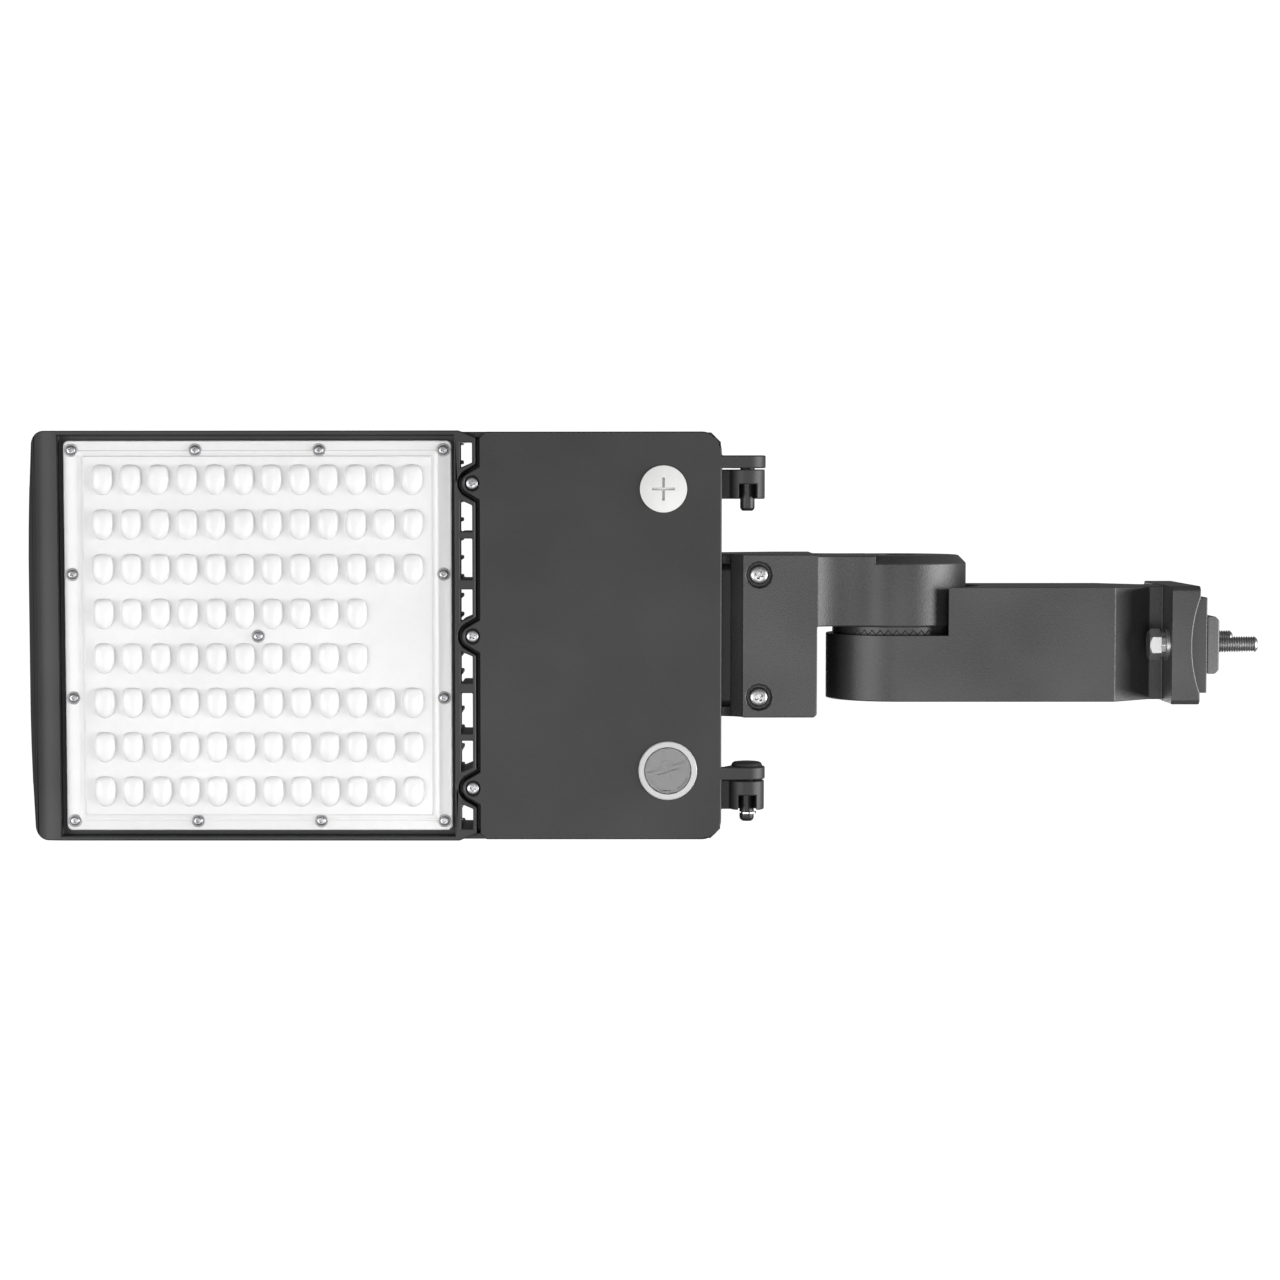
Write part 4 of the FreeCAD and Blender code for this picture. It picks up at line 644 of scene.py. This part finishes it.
quarters = copies("pockets", pocket_cutter(4.2 * mm, 12.6 * mm, 2.35 * mm, proud, 1.5 * mm),
                  [Matrix.Rotation(math.pi / 2 * k, 4, "Z") for k in range(4)])
window = cut(window, quarters)
window = cut(window, cross_cutter(slot_l, 1.6 * mm, proud, 1.6 * mm, slot_taper))
window = copies("window_plug_moulding", window,
                [Matrix.Translation((window_x, window_y, face_z))
                 @ Matrix.Rotation(-window_turn, 4, "Z") @ facing_down])
clear_plug = grained("clear_plug", (0.17, 0.17, 0.17), (0.20, 0.20, 0.20), 300.0, 0.03, 0.04, 0.05,
                     IOR=1.49, Transmission_Weight=1.0)
place(window, "window_plug", "clear_plug", clear_plug, "window_plug")

ring_low, ring_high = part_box("window_ring")
ring_r = (ring_high.x - ring_low.x) / 2
socket = turned("window_socket_ring",
                [(13.6 * mm, face_z - ring_high.z), (15.9 * mm, face_z - ring_high.z),
                 (15.9 * mm, 0), (ring_r, 0), (ring_r, proud - 0.5 * mm),
                 (ring_r - 0.5 * mm, proud), (14.75 * mm, proud), (14.75 * mm, 0), (13.6 * mm, 0)], 64)
socket = copies("window_socket_ring", socket,
                [Matrix.Translation((window_x, window_y, face_z)) @ facing_down])
frosted = grained("frosted_ring", (0.46, 0.46, 0.46), (0.56, 0.56, 0.56), 400.0, 0.3, 0.15, 0.1,
                  IOR=1.5, Transmission_Weight=0.3)
place(socket, "door", "frosted_ring", frosted, "window_ring")


# ---- Hinge pins and clip ---------------------------------------------------------------
# Two black steel pins fixed in the door's arms. Both point the same way, so the open door
# lifts off sideways once the spring clip on the lower pin is pulled.

black_steel = grained("black_steel", (0.012, 0.012, 0.012), (0.03, 0.03, 0.03), 900.0, 0.3, 0.2, 0.2,
                      Metallic=0.6)
clip_steel = grained("clip_steel", (0.6, 0.6, 0.6), (0.8, 0.8, 0.8), 900.0, 0.16, 0.1, 0.1,
                     Metallic=1.0)
for node in ("hinge_pin_upper", "hinge_pin_lower"):
    low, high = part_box(node)
    length = high.y - low.y
    r = (high.z - low.z) / 2
    profile = [(0, 0), (r, 0), (r, length - 2.0 * mm), (r - 0.4 * mm, length - 0.9 * mm),
               (r - 1.4 * mm, length), (0, length)]
    if node == "hinge_pin_lower":
        groove_y, clip_y1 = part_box("pin_clip")[0].y - low.y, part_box("pin_clip")[1].y - low.y
        profile[2:2] = [(r, groove_y), (r - 1 * mm, groove_y), (r - 1 * mm, clip_y1), (r, clip_y1)]
    along_y = Matrix.Rotation(-math.pi / 2, 4, "X")
    pin = copies(node + "_turned", turned(node, profile, 40),
                 [Matrix.Translation(((low.x + high.x) / 2, low.y, (low.z + high.z) / 2)) @ along_y])
    place(pin, "door", "black_steel", black_steel, node)
clip = softened("pin_clip_pressing", "pin_clip", 0.2 * mm)
place(clip, "door", "stainless", clip_steel, "pin_clip")


# ---- Bracket ---------------------------------------------------------------------------
# The rear bracket: one aluminium casting with a socket over the tongue, held by two M6
# screws in deep recesses, and the upper half of the toothed tilt knuckle.

casting_coat = grained("casting_coat", (0.013, 0.013, 0.014), (0.042, 0.042, 0.043),
                       1000.0, 0.34, 0.18, 0.8, Specular_IOR_Level=0.4)
knuckle_low, knuckle_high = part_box("pivot_washer")
knuckle = (knuckle_low + knuckle_high) / 2
teeth_r, teeth_face_r, hollow_r = 40.6 * mm, 38.5 * mm, 31 * mm
arm_joint_y = -5.6 * mm
bracket_joint_y = -8.8 * mm
joint_margin = 0.1 * mm


def knuckle_share(line):
    """How far an edge is rounded: the teeth's outer edges less, their inner edges not at all."""
    outer, inner = True, True
    for vert in line.verts:
        away = math.hypot(vert.co.x - knuckle.x, vert.co.z - knuckle.z)
        in_hollow = away < hollow_r
        in_teeth = bracket_joint_y - joint_margin < vert.co.y < arm_joint_y + joint_margin
        outer = outer and in_teeth and away > teeth_face_r
        inner = inner and away < teeth_r and (in_teeth or in_hollow)
    if outer:
        return 0.4
    return 0.0 if inner else 1.0


bracket = softened("bracket_casting", "bracket", 0.7 * mm, share_of=knuckle_share)
place(bracket, "head", "arm_coat", casting_coat, "bracket")
bracket_low, bracket_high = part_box("bracket_screws")
bracket_head_d, bracket_head_h = 12 * mm, 4.4 * mm
seat_z = bracket_low.z + bracket_head_h
bracket_x = (bracket_low.x + bracket_high.x) / 2
bracket_y = (bracket_low.y + bracket_high.y) / 2
screw_half = (bracket_high.y - bracket_low.y) / 2 - bracket_head_d / 2
bracket_screws = copies("bracket_screw_pair",
                        pan_screw(bracket_head_d, bracket_head_h, 6 * mm,
                                  bracket_high.z - seat_z),
                        screw_places([(bracket_x, bracket_y - screw_half),
                                      (bracket_x, bracket_y + screw_half)], seat_z))
place(bracket_screws, "head", "zinc_steel", zinc_plate, "bracket_screws")


# ---- Pole arm and pivot ----------------------------------------------------------------
# The arm casting carries the lower half of the knuckle and the flange for the pole. A hex
# head bolt with a washer and a held nut clamps the two toothed halves.

arm = softened("arm_casting", "pole_arm", 0.7 * mm, share_of=knuckle_share)
place(arm, "arm", "arm_coat", casting_coat, "pole_arm")
for node in ("pivot_bolt", "pivot_washer", "pivot_nut"):
    piece = softened(node + "_plated", node, 0.5 * mm)
    place(piece, "arm", "zinc_steel", zinc_plate, node)


# ---- Pole end --------------------------------------------------------------------------
# A black moulded wedge fits the hollow flange to a flat pole wall. Two M10 bolts with
# spring and flat washers run through it into a cast plate inside the pole.

satin_black = grained("satin_black", (0.014, 0.014, 0.014), (0.028, 0.028, 0.028),
                      500.0, 0.35, 0.15, 0.25)
adapter = softened("adapter_wedge", "pole_adapter", 0.5 * mm)
place(adapter, "arm", "black_nylon", satin_black, "pole_adapter")
cast_grey = grained("cast_grey", (0.045, 0.045, 0.045), (0.10, 0.10, 0.10), 600.0, 0.45, 0.2, 0.7)
plate = softened("backing_casting", "backing_plate", 0.7 * mm)
place(plate, "backing_plate", "cast_plate", cast_grey, "backing_plate")


def hex_bolt(flats, head_h, shank_d, thread_from, length, pitch):
    """A hex head bolt on the Z axis with its seat at zero, the head up and the thread down."""
    bpy.ops.object.select_all(action="DESELECT")
    corner = flats / math.sqrt(3)
    bpy.ops.mesh.primitive_cylinder_add(vertices=6, radius=corner, depth=head_h,
                                        location=(0, 0, head_h / 2))
    head = bpy.context.object
    bpy.ops.object.transform_apply(location=True)
    dome = turned("chamfer", [(0, -1 * mm), (corner * 1.1, -1 * mm), (corner * 1.1, head_h * 0.62),
                              (flats / 2 * 0.98, head_h), (0, head_h)], 48)
    head = cut(head, dome, "INTERSECT")
    r = shank_d / 2
    core = r - pitch * 0.6
    profile = [(0, 0.5 * mm), (r, 0.5 * mm), (r, -thread_from)]
    z = -thread_from
    while z - pitch > -length + 1.2 * mm:
        profile += [(core, z - pitch * 0.45), (core, z - pitch * 0.55),
                    (r, z - pitch * 0.94), (r, z - pitch)]
        z -= pitch
    profile += [(core, 0.6 * mm - length), (core - 0.8 * mm, -length), (0, -length)]
    shank = turned("shank", profile, 32)
    only(head)
    shank.select_set(True)
    bpy.ops.object.join()
    return head


bolt_low, bolt_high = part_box("pole_bolts")
head_h, head_flats = 7.0 * mm, 17.0 * mm
bolt_d, bolt_pitch, plain_l = 10 * mm, 1.5 * mm, 12 * mm
spacing = bolt_high.z - bolt_low.z - head_flats
seat_x = bolt_low.x + head_h
along_pole = Matrix.Rotation(-math.pi / 2, 4, "Y")
bolt_places = [Matrix.Translation((seat_x, 0, s * spacing / 2)) @ along_pole for s in (-1, 1)]
bolts = copies("pole_bolt_pair", hex_bolt(head_flats, head_h, bolt_d, plain_l,
                                          bolt_high.x - seat_x, bolt_pitch), bolt_places)
place(bolts, "arm", "zinc_steel", zinc_plate, "pole_bolts")
flat_low, flat_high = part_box("flat_washers")
lock = softened("lock_washer_pair", "lock_washers", 0.4 * mm)
place(lock, "arm", "zinc_steel", zinc_plate, "lock_washers")
thick = flat_high.x - flat_low.x
washer_profile = [(5.2 * mm, 0), (9.7 * mm, 0), (10 * mm, 0.3 * mm),
                  (10 * mm, thick - 0.3 * mm), (9.7 * mm, thick), (5.2 * mm, thick)]
washer = turned("washer", washer_profile, 48)
washers = copies("flat_washer_pair", washer,
                 [Matrix.Translation((flat_low.x, 0, s * spacing / 2))
                  @ Matrix.Rotation(math.pi / 2, 4, "Y") for s in (-1, 1)])
place(washers, "arm", "zinc_steel", zinc_plate, "flat_washers")


# ---- Studio ----------------------------------------------------------------------------
# The light hangs in a pale room, seen from below: a plain floor under it, a white
# surround, three soft boxes below it (left, right and in front) and a large one above.

bpy.ops.object.select_all(action="DESELECT")
bpy.ops.mesh.primitive_plane_add(size=30, location=(0, 0, -2.5))
floor = bpy.context.object
floor.name = "floor"
floor_paint = grained("floor_paint", (0.78, 0.78, 0.78), (0.84, 0.84, 0.84), 3.0, 0.6, 0.1, 0.0)
floor.data.materials.append(floor_paint)


def soft_box(name, place, aim, size, power):
    """A rectangular soft light that points at a place."""
    lamp = bpy.data.lights.new(name, "AREA")
    lamp.shape = "RECTANGLE"
    lamp.size, lamp.size_y = size
    lamp.energy = power
    holder = bpy.data.objects.new(name, lamp)
    bpy.context.scene.collection.objects.link(holder)
    holder.location = place
    holder.rotation_euler = (Vector(aim) - Vector(place)).to_track_quat("-Z", "Y").to_euler()


soft_box("soft_box_left", (-1.9, 0.2, -1.5), (-0.4, 0, 0), (1.1, 1.6), 40.0)
soft_box("soft_box_right", (1.35, 0.1, -0.50), (-0.10, 0, 0), (0.8, 1.5), 62.0)
soft_box("soft_box_front", (-0.1, 0.5, -2.3), (-0.4, 0, 0), (0.9, 0.9), 16.0)
soft_box("soft_box_above", (-0.6, 0.9, 1.9), (-0.35, 0, 0), (1.6, 1.6), 30.0)

room = bpy.data.worlds.new("room")
room.use_nodes = True
bpy.context.scene.world = room
tree = room.node_tree
background = tree.nodes["Background"]
ray = tree.nodes.new("ShaderNodeLightPath")
shade = tree.nodes.new("ShaderNodeMapRange")
fill_light, seen_white = 0.22, 1.05
shade.inputs["To Min"].default_value = fill_light
shade.inputs["To Max"].default_value = seen_white
tree.links.new(ray.outputs["Is Camera Ray"], shade.inputs["Value"])
tree.links.new(shade.outputs["Result"], background.inputs["Strength"])
background.inputs["Color"].default_value = (1, 1, 1, 1)
bpy.context.scene.view_settings.view_transform = "Standard"

photo_px, focal_px, axis_px = 1280, 3157.6, (590.9, 701.8)
lens_of_camera = bpy.data.cameras.new("camera")
lens_of_camera.sensor_width = 36
lens_of_camera.lens = lens_of_camera.sensor_width * focal_px / photo_px
lens_of_camera.shift_x = (photo_px / 2 - axis_px[0]) / photo_px
lens_of_camera.shift_y = (axis_px[1] - photo_px / 2) / photo_px
camera = bpy.data.objects.new("camera", lens_of_camera)
bpy.context.scene.collection.objects.link(camera)
tilt = (Matrix.Rotation(0.0696, 3, "X") @ Matrix.Rotation(0.0079, 3, "Y")
        @ Matrix.Rotation(-0.0008, 3, "Z"))
camera.matrix_world = Matrix.Translation((-0.365, -0.101, -2.0)) @ (
    tilt.transposed() @ Matrix.Rotation(math.pi, 3, "X")).to_4x4()
bpy.context.scene.camera = camera
